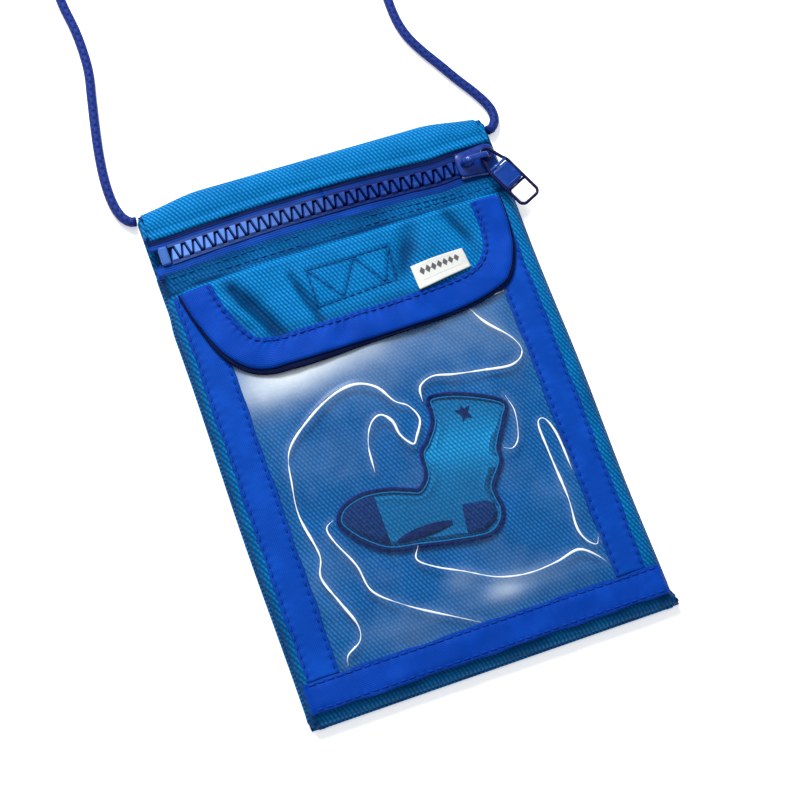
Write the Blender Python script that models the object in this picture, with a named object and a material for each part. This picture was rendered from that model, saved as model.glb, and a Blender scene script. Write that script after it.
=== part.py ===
"""Neck pouch wallet: a flat zipped pouch with a clear window pocket, a flap and a neck cord.

The pouch lies on its back on the plane z = 0 with its front up. +Y runs to the zip and +X to
the right side of the pouch as it is read. The origin is the middle of the back face.
Sizes are in millimetres here and become metres where each mesh is made.
"""
import math

import bpy
import bmesh
from mathutils import Vector

MM = 0.001
GAP = 0.3                      # clearance between pieces that touch

# ---- pouch body
WIDTH = 122.0
HEIGHT = 179.0
CORNER_DROP = 2.8              # how far the top edge droops at both corners
CORNER_REACH = 23.0            # length of the droop along the top edge
EAR = 1.0                      # seam ear that sticks out at the lower right corner
CLOTH = 0.8                    # body cloth with its coating and lining
ROOM = 4.3                     # free height of the main compartment
EDGE_FALL = 3.6                # width over which the front panel falls to the side seams
RIM_HEIGHT = 1.2               # low seam rim beside the zip

# ---- zip
ZIP_DROP = 19.1                # from the top edge down to the centre line of the teeth
CHAIN_HALF = 3.4               # half width of the closed chain
TOOTH_PITCH = 3.8
TOOTH_THICK = 2.7
TOOTH_ROOT = 2.5               # tooth width at the rail
TOOTH_TIP = 0.9
TAPE = 0.5
STOP_INSET = 6.0               # from the left side to the box stop's inner end
STOP_LENGTH = 3.0
SLIDER_INSET = 1.6             # from the right side to the closed slider's end
SLIDER_LENGTH = 14.6
SLIDER_FLARE = 0.7             # how much wider the slider's shoulders are on each side
SLIDER_WALL = 0.9
SLIDER_PLATE = 1.1
SLIDER_GAP = 1.0               # from the slider's sides to the cloth beside it
SLOT = 1.3                     # slot in the slider's flanges that the tapes run through
WEDGE_LENGTH = 7.2
WEDGE_HALF = 1.3

# ---- pull
BAIL_WIDTH = 2.2
BAIL_THICK = 1.2
BAIL_LENGTH = 9.6
POST_SIZE = 1.7
POST_INSET = 3.8               # pull post's distance from the slider's right end
PULL_THICK = 1.2
PULL_LENGTH = 21.4             # from the post to the far end
PULL_HALF = 4.5
PULL_EYE = 2.9                 # outer radius of the eye round the post
PULL_ROD = 1.1
PULL_CORNER = 2.3
PULL_YAW = -65.0               # degrees from +X at rest
PANEL_START = 5.8
PANEL_END = 13.6

# ---- flap
FLAP_DROP = 11.8               # from the chain's centre line down to the flap's root
FLAP_LENGTH = 36.7
FLAP_FOLD = 10.4               # length of cloth next to the root that bends when the flap lifts
FLAP_SLOPE = 4.6               # length over which that cloth comes up from its seam
FLAP_LEFT_INSET = 4.6
FLAP_RIGHT_INSET = 6.1
FLAP_CLOTH = 0.6
BINDING_WIDTH = 10.0
BINDING_WALL = 0.3
ROOT_CLEARANCE = 1.6           # from the binding to the cloth at the flap's root
PATCH_SIZE = (33.0, 15.2)
PATCH_CENTRE = (1.0, 14.9)     # from the middle of the pouch, and down from the flap's root
PATCH_THICK = 0.6
LABEL_SIZE = (19.0, 10.0)
LABEL_CENTRE = (27.2, 21.7)    # as for the patch
LABEL_THICK = 0.35

# ---- window pocket
RIBBON = 0.4
RIBBON_LEFT_INSET = 2.7
RIBBON_LEFT_WIDTH = 10.8
RIBBON_RIGHT_INSET = 5.4
RIBBON_RIGHT_WIDTH = 10.4
RIBBON_LOW_INSET = 3.5
RIBBON_LOW_WIDTH = 10.0
RIBBON_TUCK = 4.0              # from the flap's root down to the side ribbons' upper ends
MOUTH_DROP = 25.5              # from the flap's root down to the pocket's mouth
MOUTH_BINDING = 6.0
FILM = 0.3
FILM_TUCK = 3.0                # how far the film runs in under the ribbons
FILM_RISE = 0.7
FILM_DOME = 0.7
SOCK_THICK = 0.4
SOCK_BORDER = 1.0

# ---- neck cord
CORD = 3.2
CORD_STEP = 8.0
COIL_MID = 35.0                # diameter of the coil at the middle of its turns
COIL_THICK = 9.6
COIL_HEIGHT = 9.6
COIL_RISE = 97.5               # from the top edge of the pouch to the middle of the coil
TIE_WIDTH = 5.0
TIE_THICK = 0.7

# ---- places in the plan that follow from those sizes
TOP_Y = HEIGHT / 2
LEFT_X, RIGHT_X = -WIDTH / 2, WIDTH / 2
CHAIN_Y = TOP_Y - ZIP_DROP
CHAIN_LEFT = LEFT_X + STOP_INSET + GAP
SLIDER_RIGHT = RIGHT_X - SLIDER_INSET
SLIDER_REAR_HALF = CHAIN_HALF + GAP + SLIDER_WALL
SLIDER_FRONT_HALF = SLIDER_REAR_HALF + SLIDER_FLARE
PANEL_Y = CHAIN_Y - SLIDER_FRONT_HALF - SLIDER_GAP      # top edge of the front panel
HEM_Y = CHAIN_Y + SLIDER_FRONT_HALF + SLIDER_GAP        # lower edge of the header strip
POST_X = SLIDER_RIGHT - POST_INSET
FLAP_ROOT_Y = CHAIN_Y - FLAP_DROP
FLAP_BOTTOM = FLAP_ROOT_Y - FLAP_LENGTH
FLAP_FOLD_Y = FLAP_ROOT_Y - FLAP_FOLD
FLAP_LEFT = LEFT_X + FLAP_LEFT_INSET
FLAP_RIGHT = RIGHT_X - FLAP_RIGHT_INSET
RIBBON_LEFT = (LEFT_X + RIBBON_LEFT_INSET, LEFT_X + RIBBON_LEFT_INSET + RIBBON_LEFT_WIDTH)
RIBBON_RIGHT = (RIGHT_X - RIBBON_RIGHT_INSET - RIBBON_RIGHT_WIDTH, RIGHT_X - RIBBON_RIGHT_INSET)
RIBBON_LOW = (RIBBON_LOW_INSET - TOP_Y, RIBBON_LOW_INSET + RIBBON_LOW_WIDTH - TOP_Y)
RIBBON_TOP = FLAP_ROOT_Y - RIBBON_TUCK
POCKET_MOUTH = FLAP_ROOT_Y - MOUTH_DROP

# ---- heights that follow from the layers
FRONT_LOW = CLOTH + ROOM
FRONT_TOP = FRONT_LOW + CLOTH
LAYER = FRONT_TOP + GAP                        # underside of what is sewn onto the front panel
RIBBON_Z = LAYER + FILM + GAP
FLAP_Z = RIBBON_Z + RIBBON + GAP + BINDING_WALL + GAP
FLAP_TOP = FLAP_Z + FLAP_CLOTH
BINDING_TOP = FLAP_TOP + GAP + BINDING_WALL
CHAIN_Z = FRONT_TOP - CLOTH / 2 - 0.05
PLATE_LOW = CHAIN_Z + TOOTH_THICK / 2 + 0.4    # underside of the slider's top plate
PLATE_TOP = PLATE_LOW + SLIDER_PLATE
PULL_Z = max(BINDING_TOP + 0.4, PLATE_TOP + 0.6)
BAIL_Z = PULL_Z + PULL_THICK + GAP
SEAM_Z = CLOTH + GAP

# ---- looks: colour, roughness, metallic
BODY = ((0.012, 0.21, 0.50), 0.75, 0.0)
RIBBON_BLUE = ((0.010, 0.075, 0.52), 0.6, 0.0)
CORD_BLUE = ((0.010, 0.035, 0.28), 0.7, 0.0)
TAPE_BLUE = ((0.020, 0.060, 0.34), 0.8, 0.0)
TEETH_BLUE = ((0.10, 0.26, 0.80), 0.35, 0.0)
GLOSS_BLUE = ((0.030, 0.10, 0.48), 0.2, 0.0)
NAVY = ((0.008, 0.020, 0.14), 0.4, 0.0)
WHITE = ((0.80, 0.80, 0.77), 0.8, 0.0)
SOCK_BLUE = ((0.010, 0.17, 0.54), 0.8, 0.0)
CLEAR = ((0.45, 0.62, 0.78), 0.15, 0.0)


def clear_scene():
    for item in list(bpy.data.objects):
        bpy.data.objects.remove(item)


def material(name, look):
    """One Principled material from (colour, roughness, metallic)."""
    colour, roughness, metallic = look
    result = bpy.data.materials.new(name)
    result.use_nodes = True
    shader = result.node_tree.nodes["Principled BSDF"]
    shader.inputs["Base Color"].default_value = (*colour, 1.0)
    shader.inputs["Roughness"].default_value = roughness
    shader.inputs["Metallic"].default_value = metallic
    return result


def add_piece(name, points, faces, look, pivot=None):
    """A mesh object from points in millimetres, hung on the empty of its joint if it moves."""
    mesh = bpy.data.meshes.new(name)
    mesh.from_pydata([Vector(point) * MM for point in points], [], faces)
    shape = bmesh.new()
    shape.from_mesh(mesh)
    bmesh.ops.recalc_face_normals(shape, faces=shape.faces)
    shape.to_mesh(mesh)
    shape.free()
    item = bpy.data.objects.new(name, mesh)
    bpy.context.collection.objects.link(item)
    item.data.materials.append(material(name, look))
    if pivot is not None:
        item.parent = pivot
        item.location = -pivot.location
    return item


def add_pivot(name, place):
    """An empty on a joint's axis."""
    pivot = bpy.data.objects.new(name, None)
    pivot.location = Vector(place) * MM
    bpy.context.collection.objects.link(pivot)
    return pivot


def loft(name, rings, look, pivot=None, closed=False):
    """Skin rings of equal length; the ends are capped unless the rings close on themselves."""
    count = len(rings[0])
    points = [point for ring in rings for point in ring]
    faces = []
    for index in range(len(rings) if closed else len(rings) - 1):
        here = index * count
        there = (index + 1) % len(rings) * count
        for step in range(count):
            nxt = (step + 1) % count
            faces.append((here + step, here + nxt, there + nxt, there + step))
    if not closed:
        faces.append(tuple(range(count)))
        faces.append(tuple(range(len(points) - count, len(points))))
    return add_piece(name, points, faces, look, pivot)


def plate(name, outline, low, high, look, pivot=None):
    """A flat outline extruded from one height to another."""
    rings = [[(x, y, z) for x, y in outline] for z in (low, high)]
    return loft(name, rings, look, pivot)


def rectangle(left, right, low, high):
    return [(left, low), (right, low), (right, high), (left, high)]


def smooth_path(route, step, closed=False):
    """Points about one step apart on a Catmull-Rom curve through the route's own points."""
    route = [Vector(point) for point in route]
    count = len(route)
    result = []
    for index in range(count if closed else count - 1):
        if closed:
            a, b, c, d = (route[(index + shift) % count] for shift in (-1, 0, 1, 2))
        else:
            a = route[max(index - 1, 0)]
            b, c = route[index], route[index + 1]
            d = route[min(index + 2, count - 1)]
        pieces = max(1, round((c - b).length / step))
        for piece in range(pieces):
            t = piece / pieces
            result.append(0.5 * (2 * b + (c - a) * t + (2 * a - 5 * b + 4 * c - d) * t ** 2
                                 + (3 * b - a - 3 * c + d) * t ** 3))
    if not closed:
        result.append(route[-1])
    return result


def ease(value):
    value = min(max(value, 0.0), 1.0)
    return value * value * (3 - 2 * value)


def top_edge(x):
    """Height of the pouch's top edge, which droops towards both corners."""
    start = WIDTH / 2 - CORNER_REACH
    return TOP_Y - CORNER_DROP * ease((abs(x) - start) / CORNER_REACH)


def pouch_outline(inset=0.0):
    """Outline of a body panel, counter-clockwise, drawn in by an inset."""
    half = WIDTH / 2 - inset
    low = -HEIGHT / 2 + inset
    points = [(-half, low + 1.5), (-half + 1.5, low), (0.0, low), (half - 4.0, low)]
    points += [(half + EAR, low + 0.8), (half, low + 4.0), (half, 0.0)]
    steps = 8
    for index in range(2 * steps + 1):
        x = half - index * half / steps
        points.append((x, top_edge(x) - inset))
    points.append((-half, 0.0))
    return points


def bevel(item, width, segments=2):
    modifier = item.modifiers.new("bevel", "BEVEL")
    modifier.width = width * MM
    modifier.segments = segments
    modifier.limit_method = "ANGLE"
    modifier.angle_limit = math.radians(35)
    return item


def cut(item, cutter):
    """Take a cutter away from a piece."""
    cutter.hide_render = True
    cutter.display_type = "WIRE"
    modifier = item.modifiers.new("cut", "BOOLEAN")
    modifier.operation = "DIFFERENCE"
    modifier.object = cutter
    return item


# ---------------------------------------------------------------- body
def make_back_panel():
    plate("back_panel", pouch_outline(), 0.0, CLOTH, BODY)


def make_front_panel():
    """A shallow tray: flat on top, falling to a rim along the sides and the bottom."""
    profile = [(EDGE_FALL + CLOTH, FRONT_LOW), (EDGE_FALL * 0.8, FRONT_LOW - CLOTH)]
    profile += [(EDGE_FALL * 0.45, FRONT_LOW * 0.6), (CLOTH + 0.1, SEAM_Z), (0.0, SEAM_Z)]
    profile += [(0.0, SEAM_Z + CLOTH), (EDGE_FALL * 0.2, FRONT_LOW * 0.7)]
    profile += [(EDGE_FALL * 0.55, FRONT_TOP - CLOTH), (EDGE_FALL, FRONT_TOP)]
    rings = [[(x, y, z) for x, y in pouch_outline(inset)] for inset, z in profile]
    panel = loft("front_panel", rings, BODY)
    mouth = rectangle(-WIDTH, WIDTH, PANEL_Y, HEIGHT)
    cut(panel, plate("cutter_mouth", mouth, SEAM_Z + RIM_HEIGHT, FRONT_TOP + 5, BODY))
    corner = rectangle(-WIDTH, WIDTH, HEM_Y + 0.6, HEIGHT)
    cut(panel, plate("cutter_corner", corner, 0.0, FRONT_TOP + 5, BODY))


def make_header_strip(pivot):
    """Front of the hem above the zip: it curls over the top edge down to the back panel."""
    half = WIDTH / 2 - EDGE_FALL + GAP
    stations = [half * share for share in (-1, -0.93, -0.83, -0.7, -0.35, 0)]
    stations += [-x for x in reversed(stations[:-1])]
    rings = []
    for x in stations:
        top = top_edge(x)
        high = FRONT_TOP
        low = FRONT_LOW
        outer = [(HEM_Y, high), (top - 5.0, high), (top - 1.8, high - 1.0)]
        outer += [(top - 0.3, high - 2.8), (top, SEAM_Z)]
        inner = [(top - CLOTH, SEAM_Z), (top - CLOTH - 0.3, low - 2.2)]
        inner += [(top - 2.3, low - 0.9), (top - 5.2, low), (HEM_Y, low)]
        rings.append([(x, y, z) for y, z in outer + inner])
    loft("header_strip", rings, BODY, pivot)


def make_bartacks():
    """Stitched corners that hold the ends of the neck cord."""
    inner = WIDTH / 2 - EDGE_FALL + 2 * GAP
    outer = WIDTH / 2 - GAP
    low = HEM_Y + 1.2
    high = top_edge(outer) - GAP
    for name, left, right in (("bartack_left", -outer, -inner), ("bartack_right", inner, outer)):
        block = plate(name, rectangle(left, right, low, high), SEAM_Z, SEAM_Z + 3.2, NAVY)
        bevel(block, 0.4)


# ---------------------------------------------------------------- zip
def tooth_row(side, offset):
    """Comb outline of one row of moulded teeth on its rail; side is +1 above, -1 below."""
    right = SLIDER_RIGHT - WEDGE_LENGTH - GAP
    rail = CHAIN_Y + side * CHAIN_HALF
    root = CHAIN_Y + side * (CHAIN_HALF - 1.1)
    tip = CHAIN_Y - side * (CHAIN_HALF - 1.1 - 2 * GAP)
    points = [(CHAIN_LEFT, rail), (CHAIN_LEFT, root)]
    centre = CHAIN_LEFT + TOOTH_ROOT / 2 + offset
    while centre + TOOTH_ROOT / 2 < right:
        points += [(centre - TOOTH_ROOT / 2 + 0.05, root), (centre - TOOTH_TIP / 2, tip)]
        points += [(centre + TOOTH_TIP / 2, tip), (centre + TOOTH_ROOT / 2 - 0.05, root)]
        centre += TOOTH_PITCH
    points += [(right, root), (right, rail)]
    return points


def make_zip(lip_pivot):
    half = WIDTH / 2 - 4.0
    low, high = CHAIN_Z - TAPE / 2, CHAIN_Z + TAPE / 2
    edge = CHAIN_HALF + GAP
    lower = rectangle(-half, half, PANEL_Y + GAP, CHAIN_Y - edge)
    upper = rectangle(-half, half, CHAIN_Y + edge, HEM_Y - GAP)
    plate("zip_tape_lower", lower, low, high, TAPE_BLUE)
    plate("zip_tape_upper", upper, low, high, TAPE_BLUE, lip_pivot)
    low, high = CHAIN_Z - TOOTH_THICK / 2, CHAIN_Z + TOOTH_THICK / 2
    plate("zip_teeth_lower", tooth_row(-1, 0.1), low, high, TEETH_BLUE)
    plate("zip_teeth_upper", tooth_row(1, 0.1 + TOOTH_PITCH / 2), low, high, TEETH_BLUE, lip_pivot)
    right = CHAIN_LEFT - GAP
    box = rectangle(right - STOP_LENGTH, right, CHAIN_Y - 3.2, CHAIN_Y + 3.2)
    bevel(plate("zip_bottom_stop", box, low - 0.1, high + 0.1, TEETH_BLUE), 0.5)
    for name, side, pivot in (("lower", -1, None), ("upper", 1, lip_pivot)):
        ends = sorted((CHAIN_Y + side * (WEDGE_HALF + 0.7), CHAIN_Y + side * 3.6))
        lump = rectangle(SLIDER_RIGHT - 2.2, SLIDER_RIGHT - 0.6, *ends)
        stop = plate("zip_top_stop_" + name, lump, low + 0.2, high - 0.2, TEETH_BLUE, pivot)
        bevel(stop, 0.3, 1)


def slider_outline(extra=0.0, reach=0.0):
    """Plan of the slider: narrow where the closed chain leaves, wide at its shoulders."""
    rear, front = SLIDER_RIGHT - SLIDER_LENGTH - reach, SLIDER_RIGHT + reach
    narrow, wide = SLIDER_REAR_HALF + extra, SLIDER_FRONT_HALF + extra
    middle = SLIDER_RIGHT - WEDGE_LENGTH
    lower = [(rear, -narrow), (middle, -narrow), (front - 1.0, -wide), (front, -wide + 0.6)]
    upper = [(x, -y) for x, y in reversed(lower)]
    return [(x, CHAIN_Y + y) for x, y in lower + upper]


def channel_outline(extra, reach):
    """Plan of the Y-shaped channel that the two rows of teeth run through."""
    outline = slider_outline(extra, reach)
    front = SLIDER_RIGHT + reach
    tip = (SLIDER_RIGHT - WEDGE_LENGTH, CHAIN_Y)
    wedge = [(front, CHAIN_Y - WEDGE_HALF), tip, (front, CHAIN_Y + WEDGE_HALF)]
    return outline[:4] + wedge + outline[4:]


def make_slider(pivot):
    bottom = CHAIN_Z - TOOTH_THICK / 2 - 0.4 - SLIDER_PLATE
    body = plate("slider_body", slider_outline(), bottom, PLATE_TOP, GLOSS_BLUE, pivot)
    bevel(body, 0.35)
    channel = channel_outline(-SLIDER_WALL, 1.0)
    channel_low = bottom + SLIDER_PLATE
    cut(body, plate("cutter_channel", channel, channel_low, PLATE_LOW, GLOSS_BLUE, pivot))
    slot = channel_outline(3.0, 1.5)
    slot_low, slot_high = CHAIN_Z - SLOT / 2, CHAIN_Z + SLOT / 2
    cut(body, plate("cutter_slot", slot, slot_low, slot_high, GLOSS_BLUE, pivot))
    make_bail(pivot)


def make_bail(pivot):
    """Bridge over the slider with a foot at both ends; the pull turns on the right foot."""
    foot = PLATE_TOP + GAP
    top = BAIL_Z + BAIL_THICK
    right = POST_X + POST_SIZE / 2
    left = right - BAIL_LENGTH
    side = [(left - 0.8, foot), (left + POST_SIZE, foot), (left + POST_SIZE + 0.6, BAIL_Z)]
    side += [(right - POST_SIZE, BAIL_Z), (right - POST_SIZE, foot), (right, foot)]
    side += [(right, top - 0.9), (right - 1.0, top), (left + 1.2, top), (left - 0.2, top - 1.2)]
    half = BAIL_WIDTH / 2
    rings = [[(x, CHAIN_Y + y, z) for x, z in side] for y in (-half, half)]
    bevel(loft("slider_bail", rings, GLOSS_BLUE, pivot), 0.25)


def pull_outline(inset):
    """Plan of the pull from its eye (round the origin) to its far end, along its own length."""
    eye = PULL_EYE - inset
    half = PULL_HALF - inset
    end = PULL_LENGTH - inset
    corner = PULL_CORNER - inset
    points = []
    for index in range(9):
        turn = math.radians(90 + index * 180 / 8)
        points.append((eye * math.cos(turn), eye * math.sin(turn)))
    shoulder = PANEL_START
    points += [(shoulder, -half), (end - corner, -half)]
    for middle, start in ((-half + corner, -90), (half - corner, 0)):
        for index in range(1, 6):
            turn = math.radians(start + index * 15)
            points.append((end - corner + corner * math.cos(turn), middle + corner * math.sin(turn)))
        points.append((end - corner * (start == 0), middle + corner * (start == 0)))
    points.append((shoulder, half))
    return points


def turned(points, height):
    """Pull plan points turned to the pull's rest direction at its post."""
    yaw = math.radians(PULL_YAW)
    c, s = math.cos(yaw), math.sin(yaw)
    return [(POST_X + x * c - y * s, CHAIN_Y + x * s + y * c, height) for x, y in points]


def make_pull(pivot):
    low, high = PULL_Z, PULL_Z + PULL_THICK
    outer, inner = pull_outline(0.0), pull_outline(PULL_ROD)
    rings = [turned(outer, low), turned(outer, high), turned(inner, high), turned(inner, low)]
    bevel(loft("pull_frame", rings, NAVY, pivot, closed=True), 0.25)
    half = PULL_HALF - PULL_ROD - GAP
    plan = [(PANEL_START + 0.9, -half), (PANEL_END, -half), (PANEL_END, half)]
    plan += [(PANEL_START + 0.9, half), (PANEL_START + 1.4, 0.0)]
    rings = [turned(plan, low + 0.1), turned(plan, high - 0.1)]
    bevel(loft("pull_panel", rings, RIBBON_BLUE, pivot), 0.2, 1)


# ---------------------------------------------------------------- flap
def flap_edge():
    """Free edge of the flap, from its upper left corner round the bottom to the upper right."""
    left, right, low = FLAP_LEFT, FLAP_RIGHT, FLAP_BOTTOM
    route = [(left, FLAP_ROOT_Y - 2.5), (left + 2.6, low + 22.5), (left + 6.0, low + 12.2)]
    route += [(left + 14.6, low + 2.0), (left + 26.2, low), (0.0, low)]
    route += [(right - 31.6, low + 0.4), (right - 19.0, low + 2.0), (right - 9.3, low + 5.2)]
    route += [(right - 3.4, low + 12.2), (right - 0.6, low + 22.0), (right - 0.7, FLAP_ROOT_Y - 1.5)]
    return [point.to_2d() for point in smooth_path([(x, y, 0.0) for x, y in route], 4.0)]


def inward(path, index):
    """Unit vector in the plane from the flap's edge towards its middle."""
    before, after = path[max(index - 1, 0)], path[min(index + 1, len(path) - 1)]
    along = (after - before).normalized()
    return Vector((-along.y, along.x))


def below_root(centre, size, extra=0.0):
    """Rectangle whose centre is given across the pouch and down from the flap's root."""
    x, y = centre[0], FLAP_ROOT_Y - centre[1]
    wide, tall = size[0] / 2 + extra, size[1] / 2 + extra
    return rectangle(x - wide, x + wide, y - tall, y + tall)


def make_flap(pivot):
    edge = flap_edge()
    margin = BINDING_WALL + GAP
    panel = [point + inward(edge, index) * margin for index, point in enumerate(edge)]
    panel = [(point.x, point.y) for point in panel if point.y < FLAP_FOLD_Y - GAP]
    left, right = panel[0][0], panel[-1][0]
    panel = [(left, FLAP_FOLD_Y - GAP)] + panel + [(right, FLAP_FOLD_Y - GAP)]
    plate("flap_panel", panel, FLAP_Z, FLAP_TOP, BODY, pivot)

    inset = BINDING_WIDTH + ROOT_CLEARANCE
    left, right = FLAP_LEFT + inset, FLAP_RIGHT - inset
    stations = [(FLAP_FOLD_Y, FLAP_Z), (FLAP_ROOT_Y - FLAP_SLOPE, FLAP_Z), (FLAP_ROOT_Y, LAYER)]
    rings = []
    for y, low in stations:
        high = low + FLAP_CLOTH
        rings.append([(left, y, low), (right, y, low), (right, y, high), (left, y, high)])
    loft("flap_root", rings, BODY, pivot)

    low, high = FLAP_Z - margin, BINDING_TOP
    section = [(0.0, low), (0.0, high), (BINDING_WIDTH, high), (BINDING_WIDTH, FLAP_TOP + GAP)]
    section += [(BINDING_WALL, FLAP_TOP + GAP), (BINDING_WALL, FLAP_Z - GAP)]
    section += [(BINDING_WIDTH, FLAP_Z - GAP), (BINDING_WIDTH, low)]
    rings = []
    for index, point in enumerate(edge):
        side = inward(edge, index)
        rings.append([(*(point + side * depth), z) for depth, z in section])
    loft("flap_binding", rings, RIBBON_BLUE, pivot)

    hook = below_root(PATCH_CENTRE, PATCH_SIZE)
    plate("hook_patch", hook, FLAP_Z - GAP - PATCH_THICK, FLAP_Z - GAP, NAVY, pivot)
    label = below_root(LABEL_CENTRE, LABEL_SIZE)
    low = BINDING_TOP + GAP
    bevel(plate("woven_label", label, low, low + LABEL_THICK, WHITE, pivot), 0.1, 1)


# ---------------------------------------------------------------- window pocket
def make_ribbons():
    low, high = RIBBON_Z, RIBBON_Z + RIBBON
    top = RIBBON_LOW[1] + GAP
    plate("ribbon_left", rectangle(*RIBBON_LEFT, top, RIBBON_TOP), low, high, RIBBON_BLUE)
    plate("ribbon_right", rectangle(*RIBBON_RIGHT, top, RIBBON_TOP), low, high, RIBBON_BLUE)
    side = WIDTH / 2 - 1.0
    plate("ribbon_bottom", rectangle(-side, side, *RIBBON_LOW), low, high, RIBBON_BLUE)
    left, right = RIBBON_LEFT[1] + GAP, RIBBON_RIGHT[0] - GAP
    mouth = rectangle(left, right, POCKET_MOUTH - MOUTH_BINDING, POCKET_MOUTH)
    plate("pocket_mouth_binding", mouth, low, high, RIBBON_BLUE)
    loop = below_root(PATCH_CENTRE, PATCH_SIZE, 1.0)
    plate("loop_patch", loop, LAYER, FLAP_Z - PATCH_THICK - 2 * GAP, NAVY)


def make_film():
    """Clear film: flat where the ribbons hold it, raised over the patch in the middle."""
    left, right = RIBBON_LEFT[1] - FILM_TUCK, RIBBON_RIGHT[0] + FILM_TUCK
    low, high = RIBBON_LOW[1] - FILM_TUCK, POCKET_MOUTH - GAP
    profile = [(0.0, 0.0), (FILM_TUCK + GAP, 0.0), (2 * FILM_TUCK + 1, FILM_RISE)]
    profile += [(5 * FILM_TUCK, FILM_RISE + FILM_DOME)]
    under = [(inset, LAYER + rise) for inset, rise in reversed(profile)]
    over = [(inset, LAYER + rise + FILM) for inset, rise in profile]
    over[2] = (over[2][0] + 0.4, over[2][1])
    rings = []
    for inset, z in under + over:
        top = high - inset - (MOUTH_BINDING - FILM_TUCK) * (inset > 0)
        outline = rectangle(left + inset, right - inset, low + inset, top)
        rings.append([(x, y, z) for x, y in outline])
    loft("window_film", rings, CLEAR)


SOCK = [(9.3, -2.8), (19.0, -4.8), (30.7, -10.9), (28.8, -16.1), (23.9, -24.1), (22.9, -29.2),
        (18.0, -35.4), (17.6, -39.4), (18.0, -43.5), (16.1, -47.5), (11.2, -50.0), (-0.5, -48.5),
        (-10.3, -46.5), (-20.0, -44.5), (-26.9, -39.4), (-30.8, -34.4), (-31.7, -31.2),
        (-28.8, -27.8), (-22.0, -26.1), (-14.2, -27.1), (-8.3, -29.2), (-4.4, -30.2),
        (-0.5, -26.1), (0.5, -19.1), (3.4, -16.1), (7.3, -10.9), (8.3, -6.8)]
TOE_LINE = -19.3
HEEL = [(6.5, -38.5), (14.1, -39.5), (16.5, -41.1), (16.6, -44.0), (15.1, -46.8), (11.1, -48.8),
        (5.1, -48.0)]


def make_sock():
    """Decoration under the film: a sock shape with toe, heel and a corded border."""
    outline = [point.to_2d() for point in smooth_path([(*p, 0.0) for p in SOCK], 2.5, True)]
    plate("sock_patch", [(p.x, p.y) for p in outline], LAYER, LAYER + SOCK_THICK, SOCK_BLUE)
    upper = LAYER + SOCK_THICK + GAP
    toe = [(p.x + 0.6, p.y) for p in outline if p.x < TOE_LINE - 0.6]
    plate("sock_toe", toe, upper, upper + SOCK_THICK, NAVY)
    plate("sock_heel", HEEL, upper, upper + SOCK_THICK, NAVY)
    radius = SOCK_BORDER / 2
    count = len(outline)
    rings = []
    for index, point in enumerate(outline):
        along = (outline[(index + 1) % count] - outline[index - 1]).normalized()
        side = Vector((-along.y, along.x))
        centre = point + side * (radius + GAP + 0.15)
        ring = []
        for corner in range(6):
            turn = math.radians(corner * 60)
            place = centre + side * radius * math.cos(turn)
            ring.append((place.x, place.y, LAYER + radius + radius * math.sin(turn)))
        rings.append(ring)
    loft("sock_border", rings, NAVY, closed=True)


# ---------------------------------------------------------------- neck cord
RADIUS = CORD / 2
ROUTE_HALF = 61.0              # half width of a pouch that needs no shift of the routes
HELD_POINTS = 5                # points of a route that keep their place at the corner
# Points from a corner to the coil; y counts from the top edge of the pouch.
LEFT_ROUTE = [(-61.2, -4.5, 2.6), (-62.6, -4.2, 2.3), (-64.7, -1.9, 1.8), (-66.1, 2.3, RADIUS),
              (-66.6, 8.0, RADIUS), (-66.3, 15.0, RADIUS), (-65.3, 23.0, RADIUS),
              (-63.7, 32.0, RADIUS), (-61.8, 41.5, RADIUS), (-59.8, 51.5, RADIUS),
              (-59.3, 60.5, RADIUS), (-59.6, 68.5, RADIUS), (-60.7, 78.5, RADIUS),
              (-60.4, 88.5, RADIUS), (-56.4, 99.0, RADIUS), (-48.0, 107.5, RADIUS),
              (-37.0, 112.3, RADIUS), (-27.0, 113.7, RADIUS), (-17.4, 113.8, RADIUS)]
RIGHT_ROUTE = [(61.3, -7.9, 2.6), (63.0, -7.4, 2.3), (65.1, -4.9, 1.8), (65.6, -1.3, RADIUS),
               (64.4, 2.7, RADIUS), (61.6, 7.9, RADIUS), (58.2, 13.3, RADIUS),
               (54.0, 20.6, RADIUS), (50.4, 26.7, RADIUS), (47.3, 33.4, RADIUS),
               (45.8, 40.5, RADIUS), (45.7, 49.0, RADIUS), (46.2, 60.5, RADIUS),
               (46.2, 72.5, RADIUS), (44.6, 85.5, RADIUS), (40.6, 97.5, RADIUS),
               (34.0, 107.1, RADIUS), (26.0, 112.5, RADIUS), (17.4, 113.8, RADIUS)]


def from_corner(route, shift):
    """The route with its first points at the pouch's corner, wherever its width puts it."""
    last = len(route) - 1
    moved = []
    for index, (x, y, z) in enumerate(route):
        share = min(1.0, (last - index) / (last - HELD_POINTS))
        moved.append((x + shift * share, TOP_Y + y, z))
    return moved


def make_tube(name, route):
    curve = bpy.data.curves.new(name, "CURVE")
    curve.dimensions = "3D"
    curve.bevel_depth = CORD / 2 * MM
    curve.bevel_resolution = 2
    curve.use_fill_caps = True
    points = smooth_path(route, CORD_STEP)
    spline = curve.splines.new("POLY")
    spline.points.add(len(points) - 1)
    for target, point in zip(spline.points, points):
        target.co = (*(point * MM), 1.0)
    item = bpy.data.objects.new(name, curve)
    bpy.context.collection.objects.link(item)
    curve.materials.append(material(name, CORD_BLUE))


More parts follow.
